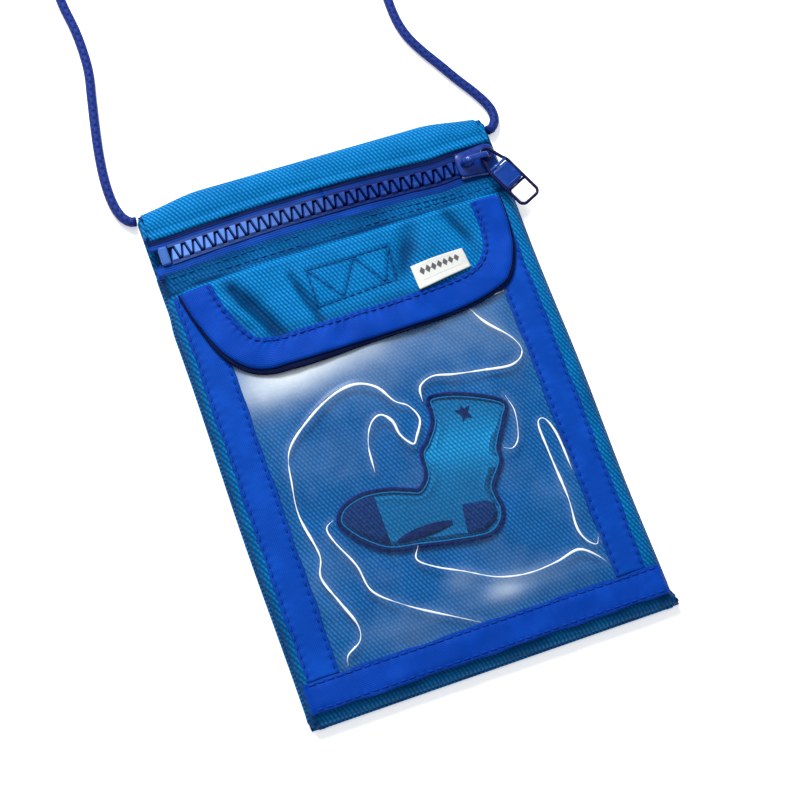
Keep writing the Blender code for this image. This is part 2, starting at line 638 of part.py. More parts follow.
def make_coil():
    """The length that isn't laid out, as a turned ring, with a tie over it."""
    x, y = 0.0, TOP_Y + COIL_RISE
    reach = COIL_THICK / 2
    rings = []
    for index in range(32):
        turn = math.radians(index * 360 / 32)
        ring = []
        for corner in range(8):
            angle = math.radians(22.5 + corner * 45)
            out = COIL_MID / 2 + reach * math.cos(angle) / math.cos(math.radians(22.5))
            high = COIL_HEIGHT / 2 * (1 + math.sin(angle) / math.cos(math.radians(22.5)))
            ring.append((x + out * math.cos(turn), y + out * math.sin(turn), high))
        rings.append(ring)
    loft("cord_coil", rings, CORD_BLUE, closed=True)
    inner = reach + GAP
    outer = inner + TIE_THICK
    low = COIL_HEIGHT + GAP
    arch = [(-outer, 0.2), (-inner, 0.2), (-inner, low), (inner, low), (inner, 0.2), (outer, 0.2)]
    arch += [(outer, low + 0.2), (outer - 0.5, low + TIE_THICK), (0.5 - outer, low + TIE_THICK)]
    arch += [(-outer, low + 0.2)]
    middle = y - COIL_MID / 2
    half = TIE_WIDTH / 2
    rings = [[(x + side, middle + across, z) for across, z in arch] for side in (-half, half)]
    loft("cord_tie", rings, CORD_BLUE)


def build():
    clear_scene()
    lip = add_pivot("lip_pivot", (0.0, TOP_Y, SEAM_Z))
    slide = add_pivot("slider_pivot", (SLIDER_RIGHT, CHAIN_Y, CHAIN_Z))
    swivel = add_pivot("pull_pivot", (POST_X, CHAIN_Y, PULL_Z))
    fold = add_pivot("flap_pivot", (0.0, FLAP_ROOT_Y, LAYER + FLAP_CLOTH))
    make_back_panel()
    make_front_panel()
    make_header_strip(lip)
    make_bartacks()
    make_zip(lip)
    make_slider(slide)
    make_pull(swivel)
    make_flap(fold)
    make_ribbons()
    make_film()
    make_sock()
    spread = WIDTH / 2 - ROUTE_HALF
    make_tube("cord_left", from_corner(LEFT_ROUTE, -spread))
    make_tube("cord_right", from_corner(RIGHT_ROUTE, spread))
    make_coil()


build()
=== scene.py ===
# %% [markdown]
# # A neck pouch wallet
# A neck pouch is a flat zipped bag that hangs on a cord under the clothes. This one has a
# plastic zip along the top, a flap with a bound edge, and a clear window pocket with a sewn
# sock emblem. It lies on its back on a pale table. The solid model is already made: it comes
# in as a fixed frame, and the pieces below are dressed over it. All sizes below are in
# millimetres and turn into metres at the moment a mesh is made.

# %% The frame
import math

import bmesh
import bpy
import numpy as np
from mathutils import Matrix, Vector, noise


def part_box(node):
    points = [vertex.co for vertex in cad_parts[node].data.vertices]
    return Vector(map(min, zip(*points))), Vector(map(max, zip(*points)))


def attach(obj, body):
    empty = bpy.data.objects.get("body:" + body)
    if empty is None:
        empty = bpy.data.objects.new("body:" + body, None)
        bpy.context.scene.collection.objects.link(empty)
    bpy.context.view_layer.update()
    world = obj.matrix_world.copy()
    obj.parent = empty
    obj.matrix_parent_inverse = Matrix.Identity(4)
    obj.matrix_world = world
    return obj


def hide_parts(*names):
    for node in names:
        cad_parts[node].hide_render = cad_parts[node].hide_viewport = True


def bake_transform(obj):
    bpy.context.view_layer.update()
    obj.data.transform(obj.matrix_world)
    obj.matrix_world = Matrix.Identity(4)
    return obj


MM = 0.001
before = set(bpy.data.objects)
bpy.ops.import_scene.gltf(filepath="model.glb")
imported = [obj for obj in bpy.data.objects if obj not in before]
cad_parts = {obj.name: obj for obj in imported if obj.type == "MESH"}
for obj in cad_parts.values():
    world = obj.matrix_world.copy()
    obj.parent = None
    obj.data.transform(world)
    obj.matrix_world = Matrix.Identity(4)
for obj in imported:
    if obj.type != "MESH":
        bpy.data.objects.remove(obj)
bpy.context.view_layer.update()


def low_high(node):
    """Lowest and highest corner of a solid of the frame, in millimetres."""
    low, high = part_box(node)
    return np.array(low) / MM, np.array(high) / MM


# %% [markdown]
# ## Camera, table and light
# The pouch is seen from above, a little from the left and from below, with the camera rolled
# so that the pouch leans to the left. A long lens keeps the sides nearly parallel. Most of the
# light comes from behind the zip, so that the flap and the hem cast a thin shadow below
# their edges, and a big soft lamp fills the rest.

# %% Camera
CAMERA_PLACE = Vector((-0.12973, -0.15078, 0.61518))
CAMERA_RIGHT = Vector((0.93406, -0.33819, 0.11474))
CAMERA_UP = Vector((0.29439, 0.91103, 0.28872))

lens = bpy.data.cameras.new("pouch_camera")
lens.lens = 90
lens.sensor_width = 36
camera = bpy.data.objects.new("pouch_camera", lens)
bpy.context.scene.collection.objects.link(camera)
axes = (CAMERA_RIGHT, CAMERA_UP, CAMERA_RIGHT.cross(CAMERA_UP))
camera.matrix_world = Matrix.Translation(CAMERA_PLACE) @ Matrix(axes).transposed().to_4x4()
bpy.context.scene.camera = camera
print("camera stands", round(CAMERA_PLACE.length, 3), "m from the pouch")


# %% Lamps
def soft_lamp(name, place, aim, size, power, colour=(1, 1, 1)):
    """Square area lamp that looks from place to aim."""
    data = bpy.data.lights.new(name, "AREA")
    data.size = size
    data.energy = power
    data.color = colour
    lamp = bpy.data.objects.new(name, data)
    bpy.context.scene.collection.objects.link(lamp)
    lamp.location = place
    lamp.rotation_euler = (Vector(aim) - Vector(place)).to_track_quat("-Z", "Y").to_euler()
    return lamp


soft_lamp("window_light", (-0.10, 0.76, 0.72), (0, 0.02, 0), 0.34, 12.4)
soft_lamp("room_light", (-0.20, 0.05, 1.30), (0, 0, 0), 1.1, 4.0, (0.95, 0.98, 1.0))

world = bpy.data.worlds.new("room")
world.use_nodes = True
sky = world.node_tree.nodes["Background"]
sky.inputs["Color"].default_value = (0.93, 0.96, 1.0, 1.0)
sky.inputs["Strength"].default_value = 0.30
bpy.context.scene.world = world
bpy.context.scene.view_settings.view_transform = "Standard"
print("two lamps and a pale room")

# %% [markdown]
# ## Shader maths as Python
# A finish is a small net of nodes. Wiring it by hand is slow to read, so a value of the net is
# wrapped in a class that knows how to add, subtract and multiply: each expression on values
# adds its Math nodes. Colours go through Mix nodes, since a Math node would turn them grey.


# %% A value in a shader
class Value:
    """One output socket of a finish; sums and products on it add Math nodes."""

    def __init__(self, finish, socket):
        self.finish = finish
        self.socket = socket

    def math(self, operation, *others):
        settings = {"operation": operation}
        return self.finish.node("ShaderNodeMath", settings, (self, *others))

    def __add__(self, other):
        return self.math("ADD", other)

    def __radd__(self, other):
        return self.math("ADD", other)

    def __sub__(self, other):
        return self.math("SUBTRACT", other)

    def __rsub__(self, other):
        return self.finish.node("ShaderNodeMath", {"operation": "SUBTRACT"}, (other, self))

    def __mul__(self, other):
        return self.math("MULTIPLY", other)

    def __rmul__(self, other):
        return self.math("MULTIPLY", other)

    def __truediv__(self, other):
        return self.math("DIVIDE", other)

    def hump(self):
        """0 at whole numbers, 1 half way between them: one thread after another."""
        return (self.math("FRACT") * math.pi).math("SINE")

    def clip(self, low=0.0, high=1.0):
        return self.math("MAXIMUM", low).math("MINIMUM", high)

    def part(self, out):
        """Another output of the same node."""
        return Value(self.finish, self.socket.node.outputs[out])


# %% A finish
class Finish:
    """A material under construction."""

    def __init__(self, name, roughness=0.6, **constants):
        self.material = bpy.data.materials.new(name)
        self.material.use_nodes = True
        self.tree = self.material.node_tree
        self.shader = self.tree.nodes["Principled BSDF"]
        self.shader.inputs["Roughness"].default_value = roughness
        for key, value in constants.items():
            self.shader.inputs[key.replace("_", " ")].default_value = value

    def node(self, kind, settings=None, inputs=(), out=0):
        """Any node: its settings first, then its inputs by place or by name."""
        node = self.tree.nodes.new(kind)
        for key, value in (settings or {}).items():
            setattr(node, key, value)
        pairs = inputs.items() if isinstance(inputs, dict) else enumerate(inputs)
        for key, value in pairs:
            self.feed(node.inputs[key], value)
        return Value(self, node.outputs[out])

    def feed(self, socket, value):
        if isinstance(value, Value):
            self.tree.links.new(value.socket, socket)
        elif isinstance(value, tuple) and socket.type == "RGBA":
            socket.default_value = (*value, 1.0)
        else:
            socket.default_value = value

    def mix(self, factor, a, b):
        """Colour between a and b."""
        return self.node("ShaderNodeMix", {"data_type": "RGBA"}, {0: factor, 6: a, 7: b}, out=2)

    def flat(self):
        """Places across and up a piece of cloth laid flat, in millimetres."""
        uv = self.node("ShaderNodeUVMap", {"uv_map": "flat"})
        split = self.node("ShaderNodeSeparateXYZ", None, (uv,))
        return split, split.part("Y")

    def stored_shade(self):
        """The share stored on a piece's points under the name shade, from 0 to 1: painted shade on the
        cloths, ribbons, tapes, teeth and sock, and haze with painted reflection on the film.
        """
        return self.node("ShaderNodeAttribute", {"attribute_name": "shade"}, (), out="Fac")

    def grain(self, scale, detail=2.0, vector=None, roughness=0.5):
        """Soft noise, from 0 to 1, with a scale in waves for each millimetre."""
        if vector is None:
            vector = self.node("ShaderNodeUVMap", {"uv_map": "flat"})
        inputs = {"Vector": vector, "Scale": scale, "Detail": detail, "Roughness": roughness}
        return self.node("ShaderNodeTexNoise", None, inputs)

    def paint(self, colour, height=None, depth=0.1, strength=1.0, roughness=None):
        """Feeds the shader; depth is the height of the bumps in millimetres."""
        self.feed(self.shader.inputs["Base Color"], colour)
        if roughness is not None:
            self.feed(self.shader.inputs["Roughness"], roughness)
        if height is not None:
            inputs = {"Height": height, "Distance": depth * MM, "Strength": strength}
            self.feed(self.shader.inputs["Normal"], self.node("ShaderNodeBump", None, inputs))
        return self.material


print("finishes are written as expressions")

# %% [markdown]
# ## Meshes from grids
# Nearly every piece of this pouch is a strip of cloth, so one helper makes them all: it takes
# the upper face as a grid of points, adds the lower face one thickness down, and closes the
# rim with a rounded edge. The flat places of the cloth go along as a UV map, so that the weave
# stays in the cloth when it bends. A second helper sweeps a round thread along a line.

# %% Cloth and threads
PIECES = {}


def keep(name, vertices, faces, finish, flat=None, smooth=True):
    """A new mesh object from points in millimetres."""
    mesh = bpy.data.meshes.new(name)
    mesh.from_pydata((np.asarray(vertices, float) * MM).tolist(), [], faces)
    mesh.validate()
    if flat is not None:
        layer = mesh.uv_layers.new(name="flat")
        index = np.empty(len(mesh.loops), int)
        mesh.loops.foreach_get("vertex_index", index)
        layer.data.foreach_set("uv", np.asarray(flat, float)[index].ravel())
    if smooth:
        mesh.shade_smooth()
    mesh.materials.append(finish)
    item = bpy.data.objects.new(name, mesh)
    bpy.context.scene.collection.objects.link(item)
    PIECES[name] = item
    return item


def normals(points):
    """Unit normals of a grid whose columns run right and whose rows run up."""
    across = np.gradient(points, axis=1)
    along = np.gradient(points, axis=0)
    normal = np.cross(across, along)
    return normal / np.maximum(np.linalg.norm(normal, axis=2, keepdims=True), 1e-9)


def cloth(name, points, finish, thick=0.6, flat=None):
    """Closed strip of cloth below a grid of points, with a rounded rim."""
    rows, columns = points.shape[:2]
    lower = points - normals(points) * thick
    if flat is None:
        flat = points[:, :, :2]
    count = rows * columns
    grid = np.arange(count).reshape(rows, columns)
    a, b, c, d = grid[:-1, :-1], grid[:-1, 1:], grid[1:, 1:], grid[1:, :-1]
    top = np.stack([a, b, c, d], 2).reshape(-1, 4)
    faces = top.tolist() + (top[:, ::-1] + count).tolist()
    rim = list(grid[0, :]) + list(grid[1:, -1]) + list(grid[-1, -2::-1]) + list(grid[-2:0:-1, 0])
    shift = np.zeros_like(points)
    shift[0] += points[0] - points[1]
    shift[-1] += points[-1] - points[-2]
    shift[:, 0] += points[:, 0] - points[:, 1]
    shift[:, -1] += points[:, -1] - points[:, -2]
    length = np.maximum(np.linalg.norm(shift, axis=2, keepdims=True), 1e-9)
    middle = ((points + lower) / 2 + shift / length * thick * 0.45).reshape(-1, 3)[rim]
    vertices = np.concatenate([points.reshape(-1, 3), lower.reshape(-1, 3), middle])
    uv = flat.reshape(-1, 2)
    start = 2 * count
    for i, p in enumerate(rim):
        j = (i + 1) % len(rim)
        q = rim[j]
        faces.append([p, start + i, start + j, q])
        faces.append([start + i, p + count, q + count, start + j])
    return keep(name, vertices, faces, finish, np.concatenate([uv, uv, uv[rim]]))


def spline(points, step, closed=False):
    """Points every step along a smooth curve through the given points."""
    points = np.asarray(points, float)
    if closed:
        line = np.concatenate([points[-1:], points, points[:2]])
    else:
        line = np.concatenate([2 * points[:1] - points[1:2], points, 2 * points[-1:] - points[-2:-1]])
    fine = []
    for p0, p1, p2, p3 in zip(line[:-3], line[1:-2], line[2:-1], line[3:]):
        for t in np.linspace(0, 1, 16, endpoint=False):
            fine.append(0.5 * (2 * p1 + (p2 - p0) * t + (2 * p0 - 5 * p1 + 4 * p2 - p3) * t * t
                               + (3 * p1 - p0 - 3 * p2 + p3) * t ** 3))
    fine.append(line[-2])
    return resample(np.array(fine), step, closed)


def resample(line, step, closed=False):
    """The same line with evenly spaced points."""
    far = np.concatenate([[0], np.cumsum(np.linalg.norm(np.diff(line, axis=0), axis=1))])
    count = max(2, int(round(far[-1] / step)) + 1)
    places = np.linspace(0, far[-1], count)
    if closed:
        places = places[:-1]
    return np.stack([np.interp(places, far, line[:, k]) for k in range(line.shape[1])], 1)


def tube(name, path, radius, finish, sides=8, closed=False, squash=1.0, up=(0, 0, 1)):
    """Round thread, wire or bead along a path; radius is one number or one for each point."""
    path = np.asarray(path, float)
    count = len(path)
    radius = np.broadcast_to(radius, (count,))
    if closed:
        along = np.roll(path, -1, 0) - np.roll(path, 1, 0)
    else:
        along = np.gradient(path, axis=0)
    along /= np.maximum(np.linalg.norm(along, axis=1, keepdims=True), 1e-9)
    side = np.cross(along, np.array(up, float))
    side /= np.maximum(np.linalg.norm(side, axis=1, keepdims=True), 1e-9)
    over = np.cross(side, along)
    turn = np.arange(sides) * 2 * math.pi / sides
    ring = side[:, None] * np.cos(turn)[None, :, None]
    ring = ring + over[:, None] * np.sin(turn)[None, :, None] * squash
    vertices = path[:, None] + ring * radius[:, None, None]
    far = np.concatenate([[0], np.cumsum(np.linalg.norm(np.diff(path, axis=0), axis=1))])
    flat = np.stack(np.broadcast_arrays(far[:, None], turn[None] / (2 * math.pi)), 2)
    faces = []
    for i in range(count if closed else count - 1):
        j = (i + 1) % count
        for k in range(sides):
            m = (k + 1) % sides
            faces.append([i * sides + k, i * sides + m, j * sides + m, j * sides + k])
    if not closed:
        faces.append(list(range(sides))[::-1])
        faces.append([(count - 1) * sides + k for k in range(sides)])
    return keep(name, vertices.reshape(-1, 3), faces, finish, flat.reshape(-1, 2))


def ease(value, low, high):
    """0 below low, 1 above high, smooth between."""
    share = np.clip((np.asarray(value, float) - low) / (high - low), 0, 1)
    return share * share * (3 - 2 * share)


def wander(x, y, size, seed=0.0):
    """Smooth noise from about -0.5 to 0.5 with bumps of one size."""
    x, y = np.broadcast_arrays(np.asarray(x, float), np.asarray(y, float))
    return np.array([noise.noise(Vector((a / size, b / size, seed)))
                     for a, b in zip(x.ravel(), y.ravel())]).reshape(x.shape)


print("cloth, spline and tube are ready")

# %% [markdown]
# ## The neck cord
# The cord is a round braid, 3.2 mm thick and limp. It leaves the pouch at its upper left
# corner, runs up past the edge of the view, and comes back to the upper right corner. The
# length that isn't worn is wound into a flat coil above the pouch: three rings of three
# turns, held by a hook-and-loop tie. The line is worked out first, as one smooth path, and
# then swept. The braid itself is painted from the distance along and around the cord.

# %% Path of the cord
CORD = 3.2
TURNS = 9
coil_low, coil_high = low_high("cord_coil")
COIL_X, COIL_Y = (coil_low[:2] + coil_high[:2]) / 2
COIL_R = (coil_high[0] - coil_low[0]) / 2 - 1.5 * CORD
LEFT_WAY = [(-61.2, 85.0, 2.6), (-62.6, 85.3, 2.3), (-64.7, 87.6, 1.8), (-66.1, 91.8, 1.6),
            (-66.6, 97.5, 1.6), (-66.3, 104.5, 1.6), (-65.3, 112.5, 1.6), (-63.7, 121.5, 1.6),
            (-61.8, 131.0, 1.6), (-59.8, 141.0, 1.6), (-59.3, 150.0, 1.6), (-59.6, 158.0, 1.6),
            (-60.7, 168.0, 1.6), (-60.4, 178.0, 1.6), (-56.4, 188.5, 1.6), (-48.0, 197.0, 1.6),
            (-37.0, 201.8, 1.6), (-27.0, 203.8, 1.6), (-19.5, 204.6, 1.6)]
RIGHT_WAY = [(24.5, 204.0, 8.8), (30.4, 200.6, 6.0), (35.6, 195.6, 3.4), (40.8, 186.0, 1.8),
             (44.6, 175.0, 1.6), (46.2, 162.0, 1.6), (46.2, 150.0, 1.6), (45.7, 138.5, 1.6),
             (45.8, 130.0, 1.6), (47.3, 122.9, 1.6), (50.4, 116.2, 1.6), (54.0, 110.1, 1.6),
             (58.2, 102.8, 1.6), (61.6, 97.4, 1.6), (64.4, 92.2, 1.6), (65.6, 88.2, 1.6),
             (65.1, 84.6, 1.8), (63.0, 82.1, 2.3), (61.3, 81.6, 2.6)]


def coil_turns():
    """Points of the winding: up the outer ring, down the middle one and up the inner one."""
    rings = [COIL_R + CORD, COIL_R, COIL_R - CORD]
    layers = [CORD / 2, CORD * 1.5, CORD * 2.5]
    order = [(r, z) for r, column in zip(rings, (layers, layers[::-1], layers)) for z in column]
    points = []
    for turn, (radius, height) in enumerate(order):
        after = order[turn + 1] if turn + 1 < TURNS else (COIL_R - CORD, CORD * 3.6)
        for step in range(24):
            angle = 100 - step * 15
            move = float(ease(step, 18, 23.9))
            if turn == 0 and step == 0:
                continue
            r = radius + (after[0] - radius) * move
            z = height + (after[1] - height) * move
            turned = math.radians(angle)
            points.append((COIL_X + r * math.cos(turned), COIL_Y + r * math.sin(turned), z))
    for angle, grow in ((100, 0.6), (88, 2.2), (76, 4.6), (64, 7.2)):
        r = COIL_R - CORD + grow
        turned = math.radians(angle)
        place = (COIL_X + r * math.cos(turned), COIL_Y + r * math.sin(turned), CORD * 3.6)
        points.append(place)
    return points


cord_line = spline(LEFT_WAY + coil_turns() + RIGHT_WAY, 1.6)

# %% [markdown]
# The braid has two families of strands that wind round the cord in opposite directions. Each
# strand is a hump across its own width, and a chequer decides which family is on top.


# %% Braided cord
def braid_finish():
    finish = Finish("braided_cord", 0.62, Specular_IOR_Level=0.15)
    along, around = finish.flat()
    right = along / 2.6 + around * 4
    left = along / 2.6 - around * 4
    over = ((along / 2.6).math("MULTIPLY", 2 * math.pi).math("SINE")
            * (around * (8 * math.pi)).math("SINE")).math("GREATER_THAN", 0.0)
    strand = right.hump() * over + left.hump() * (1 - over)
    fibre = finish.grain(3.5, 3)
    colour = finish.mix(strand, (0.001, 0.003, 0.040), (0.006, 0.026, 0.210))
    colour = finish.mix((fibre - 0.45) * 0.8, colour, (0.030, 0.070, 0.380))
    return finish.paint(colour, strand + fibre * 0.3, 0.22, 0.8, 0.75 - strand * 0.2)


CORD_FINISH = braid_finish()
neck_cord = tube("neck_cord", cord_line, CORD / 2, CORD_FINISH, sides=14)
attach(neck_cord, "pouch")
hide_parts("cord_left", "cord_right", "cord_coil")
print("braided cord with", TURNS, "turns in its coil")

# %% [markdown]
# The tie is a short soft strap that goes once round the bundle of turns.

# %% Tie round the coil
tie_low, tie_high = low_high("cord_tie")


def tie_finish():
    finish = Finish("hook_and_loop_tie", 0.9, Sheen_Weight=0.5)
    fuzz = finish.grain(2.2, 5, roughness=0.7)
    colour = finish.mix(fuzz, (0.004, 0.010, 0.060), (0.020, 0.050, 0.240))
    return finish.paint(colour, fuzz, 0.35)


def make_tie():
    middle = (tie_low + tie_high) / 2
    half = (tie_high - tie_low) / 2
    depth, rise = half[1] - 0.35, half[2] + 0.15
    rows = []
    for angle in np.linspace(0, 2 * math.pi, 49):
        c, s = math.cos(angle), math.sin(angle)
        y = middle[1] + depth * math.copysign(abs(c) ** 0.45, c)
        z = middle[2] + rise * math.copysign(abs(s) ** 0.45, s)
        rows.append([(middle[0] + half[0] * share, y, max(z, 0.35)) for share in (1, 0.4, -0.4, -1)])
    points = np.array(rows)
    flat = np.stack(np.broadcast_arrays(np.arange(49)[:, None] * 0.8, points[0, :, 0]), 2)
    return cloth("cord_tie_strap", points, tie_finish(), 0.7, flat)


tie = make_tie()
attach(tie, "pouch")
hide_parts("cord_tie")
print("the tie is", round(tie_high[0] - tie_low[0], 1), "mm wide")

# %% [markdown]
# ## Cloths of the pouch
# The body is a coated twill: short floats of thick yarn that lie in steep diagonal rows. A
# row number and a place along the row come from two slanted directions in the flat cloth;
# every second row is moved by half a float, as the loom does it. The floats are light cyan
# blue and the gaps between the rows are deep blue.


# %% Twill
def brighter(colour, times, lift):
    return tuple(min(1.0, part * times + lift) for part in colour)


def twill_finish(name, light, deep, shade=0.35):
    finish = Finish(name, 0.7, Specular_IOR_Level=0.04)
    across, up = finish.flat()
    sway = finish.grain(0.35, 2)
    row = (across * 0.90 + up * 0.43) / 1.16 + sway * 0.35
    along = (up * 0.90 - across * 0.43 + row.math("FLOOR") * 0.63) / 1.5
    ridge = row.hump()
    float_part = along.hump().math("POWER", 0.6)
    yarn = ridge.math("POWER", 1.15) * (0.42 + 0.58 * float_part)
    fibre = finish.grain(5.0, 3)
    cloud = finish.grain(0.06, 3)
    colour = finish.mix(yarn.math("POWER", 1.3), deep, light)
    colour = finish.mix((fibre - 0.5) * 0.7, colour, brighter(light, 2.0, 0.03))
    # painted shade: the stored share darkens the twill along the zip, at the rim, in the flap's creases
    # and on the sock's foot and cuff; the cloud is random tone
    stored_shade = finish.stored_shade()
    colour = finish.mix(((0.56 - cloud) * shade * 2.4 + stored_shade).clip(), colour, tuple(c * 0.5 for c in deep))
    return finish.paint(colour, yarn + fibre * 0.25, 0.2, 0.85, 0.62 - yarn * 0.18)


BODY = twill_finish("blue_twill", (0.003, 0.285, 0.700), (0.0006, 0.058, 0.230))
# a darker copy of the twill: painted shade for the back sheet and the rolled side seams
SHADED = twill_finish("blue_twill_painted_shade", (0.002, 0.150, 0.430), (0.0004, 0.022, 0.110))
print("twill:", BODY.name, "and", SHADED.name)

# %% [markdown]
# The ribbons are a plain royal-blue polyester tape with very fine cross ribs, and a satin
# sheen. The zip tapes are a darker knitted tape with lengthwise ribs.


# %% Ribbon and zip tape
def ribbon_finish(name, light, deep, rib=0.55, turned=False):
    finish = Finish(name, 0.6, Specular_IOR_Level=0.05)
    across, up = finish.flat()
    if turned:
        across, up = up, across
    ribs = (up / rib).hump()
    thread = (across / 0.42 + (up / rib).math("FLOOR") * 0.5).hump()
    cloud = finish.grain(0.09, 4)
    fibre = finish.grain(3.0, 3)
    colour = finish.mix(ribs * (0.55 + thread * 0.45), deep, light)
    colour = finish.mix((cloud - 0.47) * 1.3, colour, brighter(light, 1.5, 0.004))
    stored_shade = finish.stored_shade()
    colour = finish.mix(((0.5 - cloud) * 1.2).clip(), colour, tuple(c * 0.8 for c in deep))
    # painted shade: the stored share darkens the puckers, the edges, and the tape beside the teeth and
    # under the hem
    colour = finish.mix(stored_shade.clip(), colour, tuple(c * 0.3 for c in deep))
    return finish.paint(colour, ribs + thread * 0.4 + fibre * 0.3, 0.07, 0.7, 0.55 - cloud * 0.15)


RIBBON = ribbon_finish("royal_ribbon", (0.0015, 0.062, 0.450), (0.0006, 0.038, 0.340))
# near black: painted shadow under the flap's bound edge
RIBBON_SHADOW = ribbon_finish("royal_ribbon_painted_shadow", (0.0003, 0.004, 0.040), (0.0002, 0.002, 0.020))
RIBBON_SIDE = ribbon_finish("royal_ribbon_side", (0.0020, 0.068, 0.450), (0.001, 0.045, 0.350),
                            turned=True)
TAPE = ribbon_finish("zip_tape", (0.002, 0.066, 0.400), (0.001, 0.022, 0.200), 0.75)


def thread_finish(name, colour, light):
    finish = Finish(name, 0.6, Specular_IOR_Level=0.09)
    along, around = finish.flat()
    ply = (along / 0.5 + around).hump()
    return finish.paint(finish.mix(ply, colour, light), ply, 0.06)


ROYAL_THREAD = thread_finish("royal_thread", (0.001, 0.034, 0.320), (0.002, 0.060, 0.450))
TWILL_THREAD = thread_finish("twill_thread", (0.001, 0.050, 0.240), (0.002, 0.095, 0.360))
print("ribbons, tapes and sewing threads are mixed")

# %% [markdown]
# ## The body of the pouch
# A bag isn't a slab: the front sheet is a little larger than the flat shape between the seams,
# so it swells and dimples. That swell is found by a small cloth simulation of the front sheet,
# held at its seams and blown up a little. It isn't used as a mesh but as a height map, since
# everything sewn on the front has to follow it.

# %% Swell of the front
front_low, front_high = low_high("front_panel")
SIDE = front_high[0] - 1.0
BOTTOM = front_low[1]
FRONT_TOP = front_high[2]
MOUTH_Y = low_high("zip_tape_lower")[0][1] - 0.3


def blown_sheet():
    """Heights over a grid of the front sheet after a short simulation, in millimetres."""
    xs = np.arange(-SIDE, SIDE + 0.1, 2 * SIDE / 40)
    ys = np.linspace(BOTTOM, MOUTH_Y, 52)
    x, y = np.meshgrid(xs, ys)
    start = np.stack([x, y, np.zeros_like(x) + wander(x, y, 17.0, 3.1) * 0.8], 2)
    rows, columns = x.shape
    grid = np.arange(rows * columns).reshape(rows, columns)
    faces = np.stack([grid[:-1, :-1], grid[:-1, 1:], grid[1:, 1:], grid[1:, :-1]], 2)
    mesh = bpy.data.meshes.new("blown_sheet")
    # ten times real size: the solver is steadier on bigger squares
    mesh.from_pydata((start.reshape(-1, 3) * 0.01).tolist(), [], faces.reshape(-1, 4).tolist())
    item = bpy.data.objects.new("blown_sheet", mesh)
    bpy.context.scene.collection.objects.link(item)
    seam = item.vertex_groups.new(name="seam")
    edge = np.concatenate([grid[0], grid[-1], grid[:, 0], grid[:, -1]])
    seam.add([int(k) for k in edge], 1.0, "REPLACE")
    solver = item.modifiers.new("cloth", "CLOTH")
    settings = solver.settings
    settings.vertex_group_mass = "seam"
    settings.quality = 6
    settings.mass = 0.25
    settings.tension_stiffness = 30
    settings.compression_stiffness = 30
    settings.shear_stiffness = 12
    settings.bending_stiffness = 0.6
    settings.shrink_min = -0.035
    settings.use_pressure = True
    settings.uniform_pressure_force = 0.6
    settings.effector_weights.gravity = 0
    solver.collision_settings.use_collision = False
    solver.collision_settings.use_self_collision = False
    for number in range(1, 19):
        bpy.context.scene.frame_set(number)
    graph = bpy.context.evaluated_depsgraph_get()
    shape = item.evaluated_get(graph).to_mesh()
    height = np.array([v.co.z for v in shape.vertices]).reshape(rows, columns) * 100
    bpy.data.objects.remove(item)
    bpy.data.meshes.remove(mesh)
    bpy.context.scene.frame_set(1)
    print("simulated swell from", round(float(height.min()), 2), "to", round(float(height.max()), 2))
    return xs, ys, height


SWELL_X, SWELL_Y, SWELL = blown_sheet()
SWELL = np.clip(SWELL / max(1e-6, np.percentile(np.abs(SWELL), 97)), -0.4, 1.25)


def swell(x, y):
    """Swell of the front at any place, in millimetres, by straight interpolation."""
    x, y = np.broadcast_arrays(np.asarray(x, float), np.asarray(y, float))
    i = np.clip((x - SWELL_X[0]) / (SWELL_X[1] - SWELL_X[0]), 0, len(SWELL_X) - 1.001)
    j = np.clip((y - SWELL_Y[0]) / (SWELL_Y[1] - SWELL_Y[0]), 0, len(SWELL_Y) - 1.001)
    a, b = i.astype(int), j.astype(int)
    u, v = i - a, j - b
    low = SWELL[b, a] * (1 - u) + SWELL[b, a + 1] * u
    high = SWELL[b + 1, a] * (1 - u) + SWELL[b + 1, a + 1] * u
    return (low * (1 - v) + high * v) * ease(MOUTH_Y - y, -1, 10)


def left_edge(y):
    """The left side steps out a little below the flap's corner."""
    return -SIDE + 0.75 * ease(y, 44, 52) + 0.25 * np.sin(np.asarray(y) / 17.0)


def right_edge(y):
    return SIDE + 0.25 * np.sin(np.asarray(y) / 13.0 + 2) + 1.7 * ease(-y, 85.6, 88.6)


def front_height(x, y):
    """Upper face of the front sheet: a tray that rises from the seams."""
    x, y = np.broadcast_arrays(np.asarray(x, float), np.asarray(y, float))
    inset = np.minimum(x - left_edge(y), right_edge(y) - x)
    inset = np.minimum(inset, y - BOTTOM)
    rise = np.clip(inset / 3.6, 0, 1)
    rise = np.sqrt(np.clip(1 - (1 - rise) ** 2, 0, 1))
    return 1.9 + (FRONT_TOP - 1.9) * rise + swell(x, y) * ease(inset, 2, 12)


print("front is", round(2 * SIDE), "mm wide and opens at y =", round(MOUTH_Y, 1))


# %% Front and back sheets
FLAP_ROOT = [(-56.3, 55.6), (-48.0, 56.4), (-39.7, 57.0), (-20.0, 57.4), (-0.8, 57.5), (24.0, 57.9),
             (48.0, 58.4), (55.1, 57.8)]


def shade(item, dark, points):
    """Stores a share for each point of a piece made by cloth(), under the name shade: painted shade on
    cloth and tapes, haze with painted reflection on the film.
    """
    values = np.zeros(len(item.data.vertices))
    count = points.shape[0] * points.shape[1]
    values[:count] = dark.reshape(-1)
    layer = item.data.attributes.new("shade", "FLOAT", "POINT")
    layer.data.foreach_set("value", values)


